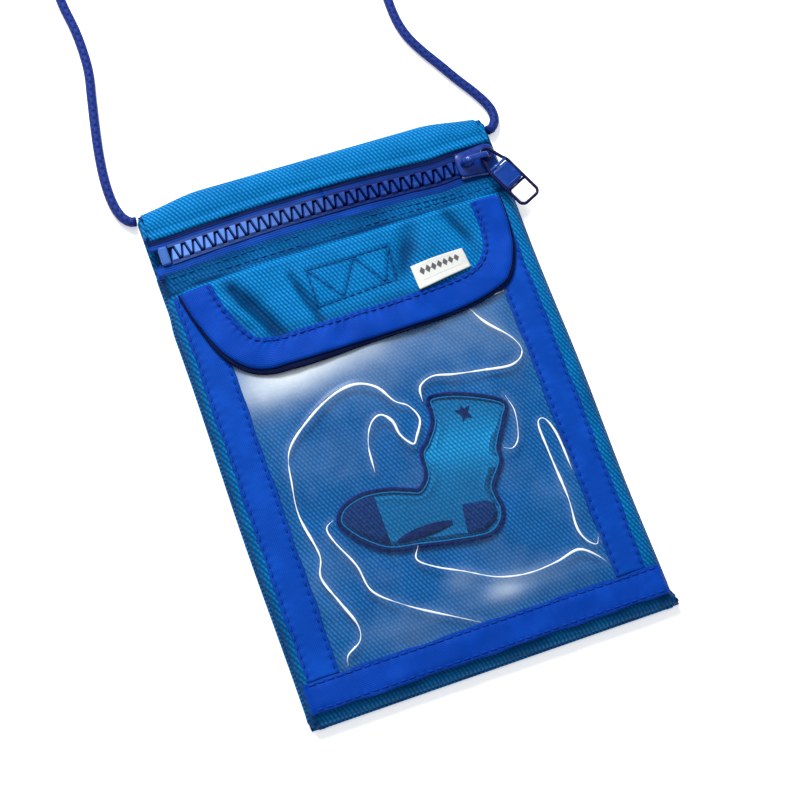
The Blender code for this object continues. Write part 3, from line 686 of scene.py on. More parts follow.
def front_shade(x, y):
    """Painted shade: deeper blue along the zip, above the flap's root, beside the ribbons, at the rim,
    along the bottom and a little under the film, where less light comes.
    """
    inset = np.minimum(x - left_edge(y), right_edge(y) - x)
    root = np.interp(x, [p[0] for p in FLAP_ROOT], [p[1] for p in FLAP_ROOT])
    strip = 0.56 * ease(y - root, 0.2, 0.9) * (1 - 0.55 * ease(x, 5, 42)) + 0.10 * ease(-y, -24, -20)
    lines = 0.5 * np.exp(-((y - root - 0.9) / 0.6) ** 2) + 0.4 * np.exp(-((MOUTH_Y - y) / 1.0) ** 2)
    rim = (0.65 - 0.35 * ease(y, 48, 54)) * np.exp(-inset / 0.9)
    rim = rim + 0.28 * ease(-x, 57.5, 59.0) + 0.22 * ease(x, 55.0, 56.5)
    low = 0.42 * ease(-y, 84.5, 86.0) + 0.45 * np.exp(-((y + 86.9) / 0.55) ** 2)
    return np.clip(strip + lines + rim + low, 0, 0.95)


def front_cloth():
    ys = np.concatenate([BOTTOM + np.array([0, 0.25, 0.7, 1.3, 2.1, 3.0, 3.9]),
                         np.linspace(BOTTOM + 5, MOUTH_Y - 1.6, 120), [MOUTH_Y - 0.8, MOUTH_Y]])
    near = np.array([0, 0.2, 0.6, 1.2, 2.0, 2.9, 3.8])
    rows = []
    for y in ys:
        left, right = float(left_edge(y)), float(right_edge(y))
        if y < BOTTOM + 1.5:
            left += 1.5 - (y - BOTTOM)
            right -= 0.5 * (1.5 - (y - BOTTOM))
        inner = np.linspace(left + 5, right - 5, 84)
        xs = np.concatenate([left + near, inner, (right - near)[::-1]])
        z = front_height(xs, y) + wander(xs, y, 9.0, 1.7) * 0.35
        if y > MOUTH_Y - 2:
            z = z + 0.35
        rows.append(np.stack([xs, np.full_like(xs, y), z], 1))
    points = np.array(rows)
    dark = front_shade(points[:, :, 0], points[:, :, 1])
    points[:, :, 1] += chain_bow(points[:, :, 0]) * ease(points[:, :, 1], MOUTH_Y - 4, MOUTH_Y)
    item = cloth("front_sheet", points, BODY, 0.7)
    shade(item, dark, points)
    return item


def chain_bow(x):
    """The zip isn't dead straight: it arches a little between its ends."""
    x = np.asarray(x, float)
    arch = 0.75 - 1.7 * ((x + 6) / 48) ** 2
    return np.maximum(arch, -0.9) * (1 - ease(x, 36, 46))


def corner_drop(x):
    """How far the top edge droops towards both corners."""
    return 2.8 * ease(np.abs(x), SIDE - 23, SIDE)


def back_cloth():
    top = low_high("back_panel")[1][1]
    ys = np.linspace(BOTTOM, top, 100)
    rows = []
    for y in ys:
        droop = 2.6 * (ease(y, top - 4, top))
        left, right = float(left_edge(y)) + droop * 0.3, float(right_edge(y)) - droop * 0.3
        xs = np.linspace(left, right, 64)
        drop = corner_drop(xs) * ease(y, top - 6, top)
        rows.append(np.stack([xs, y - drop, np.full_like(xs, 0.85)], 1))
    # the back is drawn in the darker twill, as painted shade
    return cloth("back_sheet", np.array(rows), SHADED, 0.75)


front_sheet = front_cloth()
back_sheet = back_cloth()
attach(front_sheet, "pouch")
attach(back_sheet, "pouch")
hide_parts("front_panel")
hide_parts("back_panel")


def side_seams():
    """Edge binding rolled over both sides and the bottom of the pouch."""
    ys = np.linspace(MOUTH_Y, BOTTOM + 2.2, 60)
    left = [(float(left_edge(y)) + 0.1, y, 1.35) for y in ys]
    right = [(float(right_edge(y)) - 0.1, y, 1.35) for y in ys[::-1]]
    low = [(x, BOTTOM + 0.15, 1.3) for x in np.linspace(-SIDE + 2.5, SIDE - 0.5, 50)]
    # the roll is drawn in the darker twill, as painted shade on the turned edge
    return tube("seam_roll", spline(left + low + right, 1.2), 0.75, SHADED, 8, squash=1.35)


seam_roll = side_seams()
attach(seam_roll, "pouch")
print("front, back and seam roll are sewn")

# %% [markdown]
# ## Stitches
# A lockstitch shows as a row of short thread humps, each sunk at both ends where it dives into
# the cloth. All the stitches of one row are one mesh: a small rounded lozenge repeated along
# the path, laid on whatever surface the row is sewn through.


# %% Rows of stitches
STITCH_PITCH = 3.0
STITCH_SHARE = 0.72
STITCH_SIDES = 6
# rings of one stitch: place along it, and how fat it is there
STITCH_RINGS = ((-0.5, 0.35), (-0.36, 0.85), (-0.12, 1), (0.12, 1), (0.36, 0.85), (0.5, 0.35))


def stitches(name, path, height, finish=None, pitch=STITCH_PITCH, thick=0.24):
    """A stitch row along a path of flat places; height(x, y) gives the cloth under it."""
    line = resample(np.asarray(path, float)[:, :2], pitch / 2)
    vertices, faces, flat = [], [], []
    for start in range(0, len(line) - 2, 2):
        a, b = line[start], line[start + 2]
        along = (b - a) / np.linalg.norm(b - a)
        side = np.array([-along[1], along[0]])
        base = len(vertices)
        for place, fat in STITCH_RINGS:
            centre = (a + b) / 2 + along * place * pitch * STITCH_SHARE
            z = float(height(centre[0], centre[1])) + thick * (0.75 * fat - 0.15)
            for k in range(STITCH_SIDES):
                turn = 2 * math.pi * k / STITCH_SIDES
                flank = centre + side * math.cos(turn) * thick * fat
                vertices.append((flank[0], flank[1], z + math.sin(turn) * thick * fat * 0.8))
                flat.append((place * pitch, k / STITCH_SIDES))
        last = len(STITCH_RINGS) - 1
        for ring in range(last):
            for k in range(STITCH_SIDES):
                m = (k + 1) % STITCH_SIDES
                p = base + ring * STITCH_SIDES
                faces.append([p + k, p + STITCH_SIDES + k, p + STITCH_SIDES + m, p + m])
        faces.append([base + k for k in range(STITCH_SIDES)])
        faces.append([base + last * STITCH_SIDES + k for k in range(STITCH_SIDES)][::-1])
    return keep(name, vertices, faces, finish or TWILL_THREAD, flat)


def above(function, lift):
    return lambda x, y: float(function(x, y)) + lift


print("stitch rows have a", STITCH_PITCH, "mm pitch")

# %% [markdown]
# ## The zip
# It is a moulded plastic zip: teeth are cast straight onto the tapes. Seen from above each
# tooth is a blunt wedge with sloping flanks, and the two rows close like a row of
# interlocked triangles. A tooth is made as a prism whose top face is smaller than its base.

# %% Teeth
teeth_low, teeth_high = low_high("zip_teeth_lower")
CHAIN_Y = (low_high("zip_bottom_stop")[0][1] + low_high("zip_bottom_stop")[1][1]) / 2
CHAIN_Z = (teeth_low[2] + teeth_high[2]) / 2
CHAIN_HALF = CHAIN_Y - teeth_low[1]
PITCH = 3.8
TOOTH_THICK = 2.7
FIRST = teeth_low[0] + 1.35
# places along the chain where the painted light is brightest and where the painted shade is deepest
CHAIN_LIT, CHAIN_SHADED = -54.0, 8.0
# colour of the painted shade on the flanks, bases and rails of the teeth
PLASTIC_SHADE_COLOUR = (0.0008, 0.006, 0.085)


def plastic_finish(name, light, deep):
    """Moulded plastic with painted light: lighter at the left end, deeper in painted shade towards the
    right end.
    """
    finish = Finish(name, 0.4, Coat_Weight=0.04, Coat_Roughness=0.3, Specular_IOR_Level=0.12)
    across = finish.flat()[0]
    share = ((across - CHAIN_LIT) / (CHAIN_SHADED - CHAIN_LIT)).clip()
    mottle = finish.grain(0.8, 3)
    colour = finish.mix(share, light, deep)
    colour = finish.mix((mottle - 0.5) * 0.5, colour, brighter(light, 1.6, 0.02))
    # painted shade stored on the points darkens the flanks and rails of the teeth
    low = finish.stored_shade()
    colour = finish.mix(low.clip(), colour, PLASTIC_SHADE_COLOUR)
    return finish.paint(colour, mottle, 0.03, 0.5, 0.36 + mottle * 0.14)


TEETH = plastic_finish("moulded_teeth", (0.130, 0.300, 0.860), (0.004, 0.034, 0.240))
STOP = plastic_finish("moulded_stop", (0.040, 0.130, 0.440), (0.006, 0.040, 0.260))


def tooth_shape(x, side):
    """Base, shoulder and crown outlines of one tooth that points across the centre line."""
    bow = float(chain_bow(x))
    rail = side * (CHAIN_HALF - 0.15)
    tip = -side * 1.85
    rings = []
    for foot, waist, neck, point, inset, low in ((1.36, 1.24, 0.56, 0.32, 0.0, 0.0),
                                                 (1.32, 1.20, 0.52, 0.28, 0.05, 0.5),
                                                 (0.94, 0.76, 0.22, 0.09, 1.3, 1.0)):
        near, far = rail - side * inset * 0.85, tip + side * inset * 0.25
        shape = [(-foot, near), (-waist, side * 1.3), (-neck, far + side * 0.5), (-point, far),
                 (point, far), (neck, far + side * 0.5), (waist, side * 1.3), (foot, near)]
        z = CHAIN_Z + (low - 0.5) * TOOTH_THICK
        rings.append([(x + dx, CHAIN_Y + bow + dy, z) for dx, dy in shape])
    return rings


def teeth_row(name, side, offset, low_x, high_x):
    vertices, faces, flat, dark = [], [], [], []
    x = FIRST + offset
    while x < teeth_high[0] - 0.8:
        if low_x <= x < high_x:
            base = len(vertices)
            # painted shade: full on the base, nearly full on the shoulder, none on the crown
            for ring, deep in zip(tooth_shape(x, side), (1.0, 0.9, 0.0)):
                vertices += ring
                dark += [deep] * len(ring)
                flat += [(p[0], p[1]) for p in ring]
            count = 8
            order = range(count)
            for ring in range(2):
                for k in order:
                    m = (k + 1) % count
                    p = base + ring * count
                    face = [p + k, p + m, p + count + m, p + count + k]
                    faces.append(face if side > 0 else face[::-1])
            crown = [base + 2 * count + k for k in order]
            foot = [base + k for k in order]
            faces.append(crown if side > 0 else crown[::-1])
            faces.append(foot[::-1] if side > 0 else foot)
        x += PITCH
    # rail that the teeth share, cast round the edge of the tape
    rail_x = np.arange(max(low_x, teeth_low[0]), min(high_x, teeth_high[0]) + 0.01, 1.9)
    rail_y = CHAIN_Y + chain_bow(rail_x) + side * (CHAIN_HALF - 0.45)
    path = np.stack([rail_x, rail_y, np.full_like(rail_x, CHAIN_Z + 0.2)], 1)
    start = len(vertices)
    for i, p in enumerate(path):
        for dy, dz in ((-0.5, -0.5), (0.5, -0.5), (0.5, 0.45), (-0.5, 0.45)):
            vertices.append((p[0], p[1] + dy, p[2] + dz))
            flat.append((p[0], p[1] + dy))
            # the rail sits in painted shade
            dark.append(0.8)
        if i:
            for k in range(4):
                m = (k + 1) % 4
                a, b = start + 4 * (i - 1), start + 4 * i
                faces.append([a + k, b + k, b + m, a + m])
    last = start + 4 * (len(path) - 1)
    faces.append([start + k for k in range(4)])
    faces.append([last + k for k in range(4)][::-1])
    item = keep(name, vertices, faces, TEETH, flat, smooth=False)
    layer = item.data.attributes.new("shade", "FLOAT", "POINT")
    layer.data.foreach_set("value", dark)
    soften(item, 0.12)
    return item


SHARP = math.radians(35)


def soften(item, width, segments=2):
    """Rounds the edges of a hard piece."""
    bevel = item.modifiers.new("rounded edges", "BEVEL")
    bevel.width = width * MM
    bevel.segments = segments
    bevel.angle_limit = SHARP
    bevel.limit_method = "ANGLE"
    bevel.harden_normals = False
    return item


LEFT_HALF = (-100.0, 0.0)
RIGHT_HALF = (0.0, 100.0)
teeth_lower = teeth_row("teeth_lower", -1, 0.0, -100.0, 100.0)
teeth_upper_left = teeth_row("teeth_upper_left", 1, PITCH / 2, *LEFT_HALF)
teeth_upper_right = teeth_row("teeth_upper_right", 1, PITCH / 2, *RIGHT_HALF)
print("two rows of teeth at a", PITCH, "mm pitch")


# %% Tapes
header_low, header_high = low_high("header_strip")


def tape(name, low_y, high_y, low_x, high_x, z):
    xs = np.linspace(low_x, high_x, max(4, int((high_x - low_x) / 1.5)))
    ys = np.linspace(low_y, high_y, 26)
    x, y = np.meshgrid(xs, ys)
    sag = wander(x, y, 7.0, 5.0) * 0.25
    flat = np.stack([x, y], 2)
    points = np.stack([x, y + chain_bow(x), z + sag], 2)
    item = cloth(name, points, TAPE, 0.5, flat)
    # painted shade: beside the teeth, in the hem's shadow, at the mouth, and more towards the slider at
    # the right
    gap = np.abs(y - CHAIN_Y)
    hem = header_low[1] - y
    shade(item, 0.85 * ease(-gap, -CHAIN_HALF - 0.3, -CHAIN_HALF + 0.5)
          + 0.95 * np.exp(-(np.maximum(hem - 1.3, 0) / 0.7) ** 2)
          + 0.75 * np.exp(-(np.maximum(y - MOUTH_Y, 0) / 0.5) ** 2) + 0.4 * ease(x, -5, 42), points)
    return item


lower_low, lower_high = low_high("zip_tape_lower")
upper_high = low_high("zip_tape_upper")[1]
TAPE_Z = CHAIN_Z + 0.25
TAPE_LEFT = -SIDE + 0.6
edge_y = CHAIN_HALF - 0.6
tape_lower = tape("tape_lower", lower_low[1] - 1.5, CHAIN_Y - edge_y, TAPE_LEFT, lower_high[0],
                  TAPE_Z)
tape_upper_left = tape("tape_upper_left", CHAIN_Y + edge_y, upper_high[1] + 1.5, TAPE_LEFT, 0.0,
                       TAPE_Z)
tape_upper_right = tape("tape_upper_right", CHAIN_Y + edge_y, upper_high[1] + 1.5, 0.0,
                        upper_high[0], TAPE_Z)


def block(name, low, high, finish, edge=0.4):
    """Box with rounded edges, given by two corners."""
    (a, b, c), (d, e, f) = low, high
    vertices = [(a, b, c), (d, b, c), (d, e, c), (a, e, c), (a, b, f), (d, b, f), (d, e, f), (a, e, f)]
    faces = [(0, 3, 2, 1), (4, 5, 6, 7), (0, 1, 5, 4), (1, 2, 6, 5), (2, 3, 7, 6), (3, 0, 4, 7)]
    item = keep(name, vertices, faces, finish, [(v[0], v[1]) for v in vertices], smooth=False)
    return soften(item, edge, 3)


stop_low, stop_high = low_high("zip_bottom_stop")
shift = np.array([0, float(chain_bow(-57)), 0])
box_stop = block("box_stop", stop_low + shift, stop_high + shift, STOP, 0.7)
end_lower = block("end_stop_lower", *low_high("zip_top_stop_lower"), TEETH)
end_upper = block("end_stop_upper", *low_high("zip_top_stop_upper"), TEETH)
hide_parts("zip_bottom_stop")
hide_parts("zip_top_stop_lower")
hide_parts("zip_top_stop_upper")
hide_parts("zip_teeth_lower")
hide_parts("zip_teeth_upper")
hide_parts("zip_teeth_upper")
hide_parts("zip_tape_lower")
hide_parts("zip_tape_upper")
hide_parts("zip_tape_upper")
for piece in (teeth_lower, tape_lower, box_stop, end_lower, end_upper):
    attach(piece, "pouch")

# %% [markdown]
# When the zip opens, the upper lip lifts in the middle and stays sewn at both corners. Here each
# half only has its place baked into its mesh; no blend from corner to middle is made.


# %% Upper lip
def lip(piece, side):
    """Bakes the place of a half of the upper lip into its mesh; no blend is made."""
    far, near = (-43, -10) if side < 0 else (60, 20)
    far * MM
    near * MM
    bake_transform(piece)


for piece, side in ((teeth_upper_left, -1), (teeth_upper_right, 1), (tape_upper_left, -1),
                    (tape_upper_right, 1)):
    lip(piece, side)

HEM_Y = header_low[1]
HEADER_TOP = header_high[1]


def header_half(name, low_x, high_x):
    """Hem above the zip: a folded lower edge, a flat face and a roll over the top edge."""
    xs = np.linspace(low_x, high_x, 66)
    rim = HEADER_TOP - corner_drop(xs)
    top = FRONT_TOP + 0.45
    profile = [(HEM_Y + 1.2, top - 1.5, 0), (HEM_Y + 0.25, top - 1.35, 0), (HEM_Y - 0.15, top - 0.7, 0),
               (HEM_Y + 0.2, top - 0.05, 0), (HEM_Y + 1.2, top + 0.1, 0), (HEM_Y + 2.6, top - 0.15, 0),
               (HEM_Y + 4.2, top + 0.15, 0.15), (HEM_Y + 6.2, top + 0.3, 0.4),
               (HEM_Y + 8.0, top + 0.15, 0.7), (HEM_Y + 9.6, top - 0.25, 0.85),
               (HEM_Y + 10.8, top - 0.9, 0.95), (HEM_Y + 11.7, top - 1.7, 1),
               (HEM_Y + 12.3, top - 2.6, 1), (HEM_Y + 12.6, top - 3.6, 1), (HEM_Y + 12.7, 1.6, 1)]
    profile = spline(np.array(profile), 0.55)
    rows = []
    far = 0.0
    flats = []
    for index, (y, z, share) in enumerate(profile):
        stretch = rim - (HEM_Y + 12.7)
        yy = y + stretch * share
        yy = yy + chain_bow(xs) * (1 - share) * 0.9
        zz = z + wander(xs, y, 8.0, 2.2) * 0.5 * math.sin(math.pi * min(1, share + 0.1))
        zz = zz - 0.5 * ease(np.abs(xs), SIDE - 5, SIDE - 2) * (z > 3)
        rows.append(np.stack([xs, yy, np.maximum(zz, 1.15)], 1))
        if index:
            far += math.dist(profile[index][:2], profile[index - 1][:2])
        flats.append(np.stack([xs, np.full_like(xs, HEM_Y + far)], 1))
    return cloth(name, np.array(rows), BODY, 0.6, np.array(flats))


header_left = header_half("header_left", header_low[0] - 1.4, 0.0)
header_right = header_half("header_right", 0.0, header_high[0])
for piece, side in ((header_left, -1), (header_right, 1)):
    lip(piece, side)
    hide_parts("header_strip")
print("hem from y =", round(HEM_Y, 1), "to", round(HEADER_TOP, 1))

# %% [markdown]
# ## The flap
# The flap closes the window pocket. It is a piece of twill, sewn along its top and folded
# down, with a wide ribbon bound round its free edge. The cloth is a ruled surface between
# the bound edge and the root, so its grid lines run along the binding. Two deep creases
# cross its left end, where the flap has been bent, and a box with a zigzag is sewn through it
# to hold a patch of hook tape on its underside.

# %% Flap surface
flap_high = low_high("flap_panel")[1]
FLAP_TOP = flap_high[2]
FLAP_EDGE = [(-56.5, 54.8), (-54.6, 46.0), (-50.6, 34.4), (-46.6, 28.0), (-41.8, 23.9), (-36.4, 22.2),
             (-30.2, 21.9), (-16.0, 21.8), (-1.0, 21.9), (12.0, 22.0), (23.3, 22.4), (35.9, 24.0),
             (45.6, 27.0), (49.2, 30.2), (51.7, 34.6), (53.5, 39.6), (54.5, 44.8), (54.9, 50.5),
             (54.9, 56.8)]
FLAP_INNER = [(-45.8, 55.6), (-44.6, 48.6), (-42.9, 43.4), (-40.6, 37.6), (-37.6, 33.4), (-33.0, 32.1),
              (-26.0, 31.8), (-12.0, 31.8), (-1.1, 31.9), (12.0, 32.0), (24.0, 32.7), (35.4, 33.9),
              (40.4, 36.6), (43.2, 40.2), (44.5, 44.8), (44.9, 50.0), (44.6, 56.6)]
CREASES = [((-38.6, 50.5), (-28.2, 30.6), 2.5, 1.7), ((-19.8, 49.0), (-15.2, 31.6), 1.6, 1.1),
           ((-43.5, 44.0), (-36.6, 34.8), 1.3, 0.7), ((22.0, 52.5), (14.6, 38.0), 3.4, 0.8),
           ((36.5, 54.5), (41.5, 43.0), 2.2, 0.8)]


def near_line(x, y, a, b):
    """Distance to the segment a-b, with a sign for its side, and the place along it, 0 to 1."""
    ax, ay = a
    dx, dy = b[0] - ax, b[1] - ay
    length = math.hypot(dx, dy)
    along = ((x - ax) * dx + (y - ay) * dy) / length ** 2
    side = ((x - ax) * dy - (y - ay) * dx) / length
    beyond = np.maximum(np.maximum(-along, along - 1), 0) * length
    return np.hypot(side, beyond), side, np.clip(along, 0, 1)


def creased(x, y):
    """Depth of the creases in the flap, in millimetres, and the painted shade on their floor."""
    depth = np.zeros(np.broadcast(x, y).shape)
    dark = np.zeros_like(depth)
    for a, b, width, deep in CREASES:
        gap, side, along = near_line(x, y, a, b)
        taper = np.sin(math.pi * np.clip(along * 0.8 + 0.16, 0, 1)) ** 0.6
        valley = np.exp(-(gap / width) ** 2)
        ridge = np.exp(-((side + 2.0 * width) / (1.3 * width)) ** 2) * np.exp(-(gap / (4 * width)) ** 2)
        depth += deep * taper * (valley - 0.55 * ridge)
        flank = np.exp(-((side - 0.25 * width) / width) ** 2)
        dark += taper * flank * np.exp(-(gap / (2 * width)) ** 2) * deep
    return depth, dark


def flap_height(x, y):
    """Upper face of the flap: folded up from its seam, then lying over the pocket."""
    x, y = np.broadcast_arrays(np.asarray(x, float), np.asarray(y, float))
    base = front_height(x, np.minimum(y, 54)) * 0.6 + FRONT_TOP * 0.4 + FLAP_TOP - FRONT_TOP
    root = np.interp(x, [p[0] for p in FLAP_ROOT], [p[1] for p in FLAP_ROOT])
    inset = np.clip((root - y) / 2.6, 0, 1)
    fold = np.sqrt(np.clip(1 - (1 - inset) ** 2, 0, 1))
    start = FRONT_TOP + 0.5
    wave = wander(x, y, 14.0, 4.4) * 0.9 + wander(x, y, 6.0, 8.8) * 0.3
    return start + (base - start) * fold + (wave - creased(x, y)[0]) * fold


# the box is sewn round, and then filled with one zigzag from corner to corner
BOX_ROWS = {"top": [(-15.1, 50.2), (1.2, 50.1), (13.4, 50.4)], "right": [(13.4, 50.4), (12.2, 38.6)],
            "bottom": [(-15.3, 37.1), (-6.2, 37.6), (12.2, 38.6)], "left": [(-15.1, 50.2), (-15.3, 37.1)],
            "zigzag": [(-15.1, 50.2), (-6.2, 38.0), (1.2, 50.1), (8.6, 38.4), (13.4, 50.4)]}


def flap_cloth():
    count = 230
    outer = resample(spline(FLAP_EDGE, 0.5), 1.0)
    outer = np.stack([np.interp(np.linspace(0, 1, count), np.linspace(0, 1, len(outer)), outer[:, k])
                      for k in range(2)], 1)
    root = spline(FLAP_ROOT, 0.5)
    share = ease(np.linspace(0, 1, count), 0.0, 1.0) * 0.35 + np.linspace(0, 1, count) * 0.65
    root = np.stack([np.interp(share, np.linspace(0, 1, len(root)), root[:, k]) for k in range(2)], 1)
    centre = np.array([0, 40.0])
    outer = outer + (centre - outer) / np.linalg.norm(centre - outer, axis=1, keepdims=True) * 1.4
    rows = []
    for t in np.concatenate([np.linspace(0, 0.9, 56), np.linspace(0.915, 1, 12)]):
        place = outer * (1 - t) + root * t
        rows.append(np.stack([place[:, 0], place[:, 1], flap_height(place[:, 0], place[:, 1])], 1))
    points = np.array(rows)
    x, y = points[:, :, 0].copy(), points[:, :, 1].copy()
    seam = np.zeros(x.shape)
    for path in BOX_ROWS.values():
        for a, b in zip(path, path[1:]):
            gap, _, along = near_line(x, y, a, b)
            dip = 0.75 + 0.25 * np.cos(along * math.dist(a, b) * 2 * math.pi / 2.6)
            seam = np.maximum(seam, dip * np.exp(-(gap / 0.75) ** 2))
    points[:, :, 2] -= 0.24 * seam
    # painted shade in the creases, in the box's stitch grooves, along the flap's lower part beside the
    # binding and right of the box; the wander is random tone
    dark = creased(x, y)[1] * 0.95 + seam * 0.60
    dark += ease(-y, -36, -32.5) * 0.35 + 0.25 * np.exp(-((x - 24) / 7) ** 2 - ((y - 47) / 5) ** 2)
    item = cloth("flap_cloth", points, BODY, 0.6)
    shade(item, np.clip(dark + wander(x, y, 5.0, 6.6) * 0.12, 0, 0.8), points)
    return item


flap_cloth_piece = flap_cloth()
print("flap cloth with", len(CREASES), "creases")


# %% Binding round the flap
def flap_binding():
    count = 300
    places = np.linspace(0, 1, count)
    edges = []
    for line in (FLAP_EDGE, FLAP_INNER):
        fine = spline(line, 0.4)
        edges.append(np.stack([np.interp(places, np.linspace(0, 1, len(fine)), fine[:, k])
                               for k in range(2)], 1))
    outer, inner = edges
    far = np.concatenate([[0], np.cumsum(np.linalg.norm(np.diff(outer, axis=0), axis=1))])
    pucker = 0.5 + 0.5 * np.cos(far * 2 * math.pi / 3.0)
    bulge = wander(far, 0 * far, 7.0, 6.1)
    section = [(0.55, "under"), (0.25, "under"), (0.06, "under"), (0.0, "edge"), (0.04, "top"),
               (0.12, "top"), (0.24, "top"), (0.38, "top"), (0.52, "top"), (0.66, "top"),
               (0.78, "top"), (0.88, "top"), (0.955, "top"), (1.0, "top")]
    rows, flats, darks = [], [], []
    for share, face in section:
        place = outer * (1 - share) + inner * share
        x, y = place[:, 0], place[:, 1]
        z = flap_height(x, y)
        if face == "under":
            z = z - 1.15
        elif face == "edge":
            z = z - 0.35
        else:
            press = ease(share, 0.80, 0.93)
            body = 0.40 * (1 - np.exp(-share / 0.05))
            z = z + body + (0.24 * bulge + 0.1) * math.sin(math.pi * share) - press * 0.16
            z = z + 0.32 * (pucker - 0.6) * math.exp(-((share - 0.86) / 0.11) ** 2)
        rows.append(np.stack([x, y, z], 1))
        width = share * 10.0 * (-1 if face == "under" else 1)
        flats.append(np.stack([far, np.full_like(far, width)], 1))
        # painted shade in the puckers by the stitch row and along the rolled outer edge
        darks.append(0.9 * (1 - pucker) * math.exp(-((share - 0.9) / 0.08) ** 2)
                     + 0.3 * math.exp(-(share / 0.08) ** 2) * np.ones_like(far))
    points, flat = np.array(rows), np.array(flats)
    item = cloth("flap_binding_ribbon", points, RIBBON, 0.3, flat)
    shade(item, np.array(darks), points)
    return item, inner + (outer - inner) * 0.12


binding_piece, binding_row = flap_binding()
binding_stitch = stitches("flap_binding_stitches", binding_row, above(flap_height, 0.5), ROYAL_THREAD)
box_rows = [stitches(f"flap_box_{name}", np.array(path), above(flap_height, -0.12), pitch=2.6, thick=0.22)
            for name, path in BOX_ROWS.items()]


def binding_under():
    """The ribbon's under half, drawn near black as painted shadow: it stands out a little further than the
    upper half, most at the lower left, so a dark band shows below the flap's edge.
    """
    line = resample(spline(FLAP_EDGE, 0.4), 0.6)
    tangent = np.gradient(line, axis=0)
    tangent /= np.linalg.norm(tangent, axis=1, keepdims=True)
    out = np.stack([tangent[:, 1], -tangent[:, 0]], 1)
    share = np.linspace(0, 1, len(line))
    reach = 0.35 + 0.55 * ease(share, 0.05, 0.2) * ease(-share, -0.97, -0.8)
    reach = reach + 1.15 * np.exp(-((share - 0.33) / 0.12) ** 2)
    rows = []
    for place in (-2.2, -1.0, 0.0, 0.6, 1.0):
        push = reach * place if place > 0 else place
        spot = line + out * np.reshape(push, (-1, 1))
        top = flap_height(spot[:, 0], spot[:, 1])
        z = np.minimum(top - 0.3, np.maximum(top - 0.55, front_height(spot[:, 0], spot[:, 1]) + 1.8))
        rows.append(np.column_stack([spot, z]))
    return cloth("flap_binding_shadow_strip", np.array(rows)[::-1], RIBBON_SHADOW, 0.3)


shadow_strip_piece = binding_under()


# %% Hook and loop patches under the flap
def patch(name, node, lift, hooks):
    """A patch of pile or hook tape: a soft slab with a nap."""
    low, high = low_high(node)
    xs = np.linspace(low[0], high[0], 34)
    ys = np.linspace(low[1], high[1], 18)
    x, y = np.meshgrid(xs, ys)
    z = lift(x, y)
    finish = Finish(name + "_pile", 0.85, Sheen_Weight=0.4)
    nap = finish.grain(2.6 if hooks else 1.6, 5, roughness=0.75)
    colour = finish.mix(nap, (0.002, 0.008, 0.050), (0.012, 0.050, 0.230))
    return cloth(name, np.stack([x, y, z], 2), finish.paint(colour, nap, 0.4), 0.6)


hook_piece = patch("hook_tape", "hook_patch", lambda x, y: flap_height(x, y) - 0.95, True)
loop_piece = patch("loop_tape", "loop_patch", lambda x, y: front_height(x, y) + 0.95, False)
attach(loop_piece, "pouch")
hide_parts("hook_patch")
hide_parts("loop_patch")
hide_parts("flap_panel", "flap_root")
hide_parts("flap_binding")

# %% [markdown]
# A small white woven label is sewn near the flap's right end. It carries no words, only a row
# of woven lozenges with a thin line below them. The label is a separate cloth, its lower edge
# standing a little proud of the ribbon.


# %% Woven label
def label_finish():
    finish = Finish("white_woven_label", 0.75, Sheen_Weight=0.15)
    across, up = finish.flat()
    weft = (up / 0.36).hump()
    warp = (across / 0.30 + (up / 0.36).math("FLOOR") * 0.5).hump()
    cell = (across / 2.1).math("FRACT") - 0.5
    lozenge = (cell.math("ABSOLUTE") * 2.1 + (up - 6.2).math("ABSOLUTE") * 0.60).math("LESS_THAN", 1.02)
    inside = (across - 2.1).math("GREATER_THAN", 0) * (16.8 - across).math("GREATER_THAN", 0)
    rule = (up - 2.6).math("ABSOLUTE").math("LESS_THAN", 0.16)
    ink = (lozenge * inside).clip()
    colour = finish.mix(weft * 0.5 + warp * 0.5, (0.56, 0.57, 0.55), (0.87, 0.87, 0.84))
    colour = finish.mix(ink * 0.92, colour, (0.035, 0.040, 0.050))
    colour = finish.mix(rule * inside * 0.4, colour, (0.25, 0.26, 0.28))
    return finish.paint(colour, weft + warp * 0.6 + ink * 0.5, 0.07, 0.8)


def label_cloth():
    corners = np.array([(17.9, 32.6), (36.8, 35.4), (36.1, 42.1), (18.0, 41.4)])
    rows, flats = [], []
    for v in np.linspace(0, 1, 16):
        u = np.linspace(0, 1, 30)
        low = corners[0] + (corners[1] - corners[0]) * u[:, None]
        high = corners[3] + (corners[2] - corners[3]) * u[:, None]
        place = low * (1 - v) + high * v
        under = flap_height(place[:, 0], place[:, 1])
        gap = near_line(place[:, 0], place[:, 1], (12.0, 32.2), (35.4, 33.9))[0]
        over = 0.5 * np.exp(-(gap / 2.2) ** 2)
        z = under + 0.62 + over + 0.3 * (1 - v) * np.sin(math.pi * u)
        rows.append(np.stack([place[:, 0], place[:, 1], z], 1))
        flats.append(np.stack([u * 19, np.full_like(u, v * 9.5)], 1))
    return cloth("woven_label_cloth", np.array(rows), label_finish(), 0.32, np.array(flats))


label = label_cloth()
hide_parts("woven_label")
for piece in (flap_cloth_piece, binding_piece, shadow_strip_piece, binding_stitch, hook_piece, label, *box_rows):
    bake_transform(piece)
print("flap, binding, stitches, patches and label are in place")

# %% [markdown]
# ## The window pocket
# Clear film lies under ribbons on three sides and is open below the flap, where it has its
# own narrow ribbon. The ribbons are sewn along both edges, and each stitch draws the edge in
# a little, so that it puckers in step with the thread.


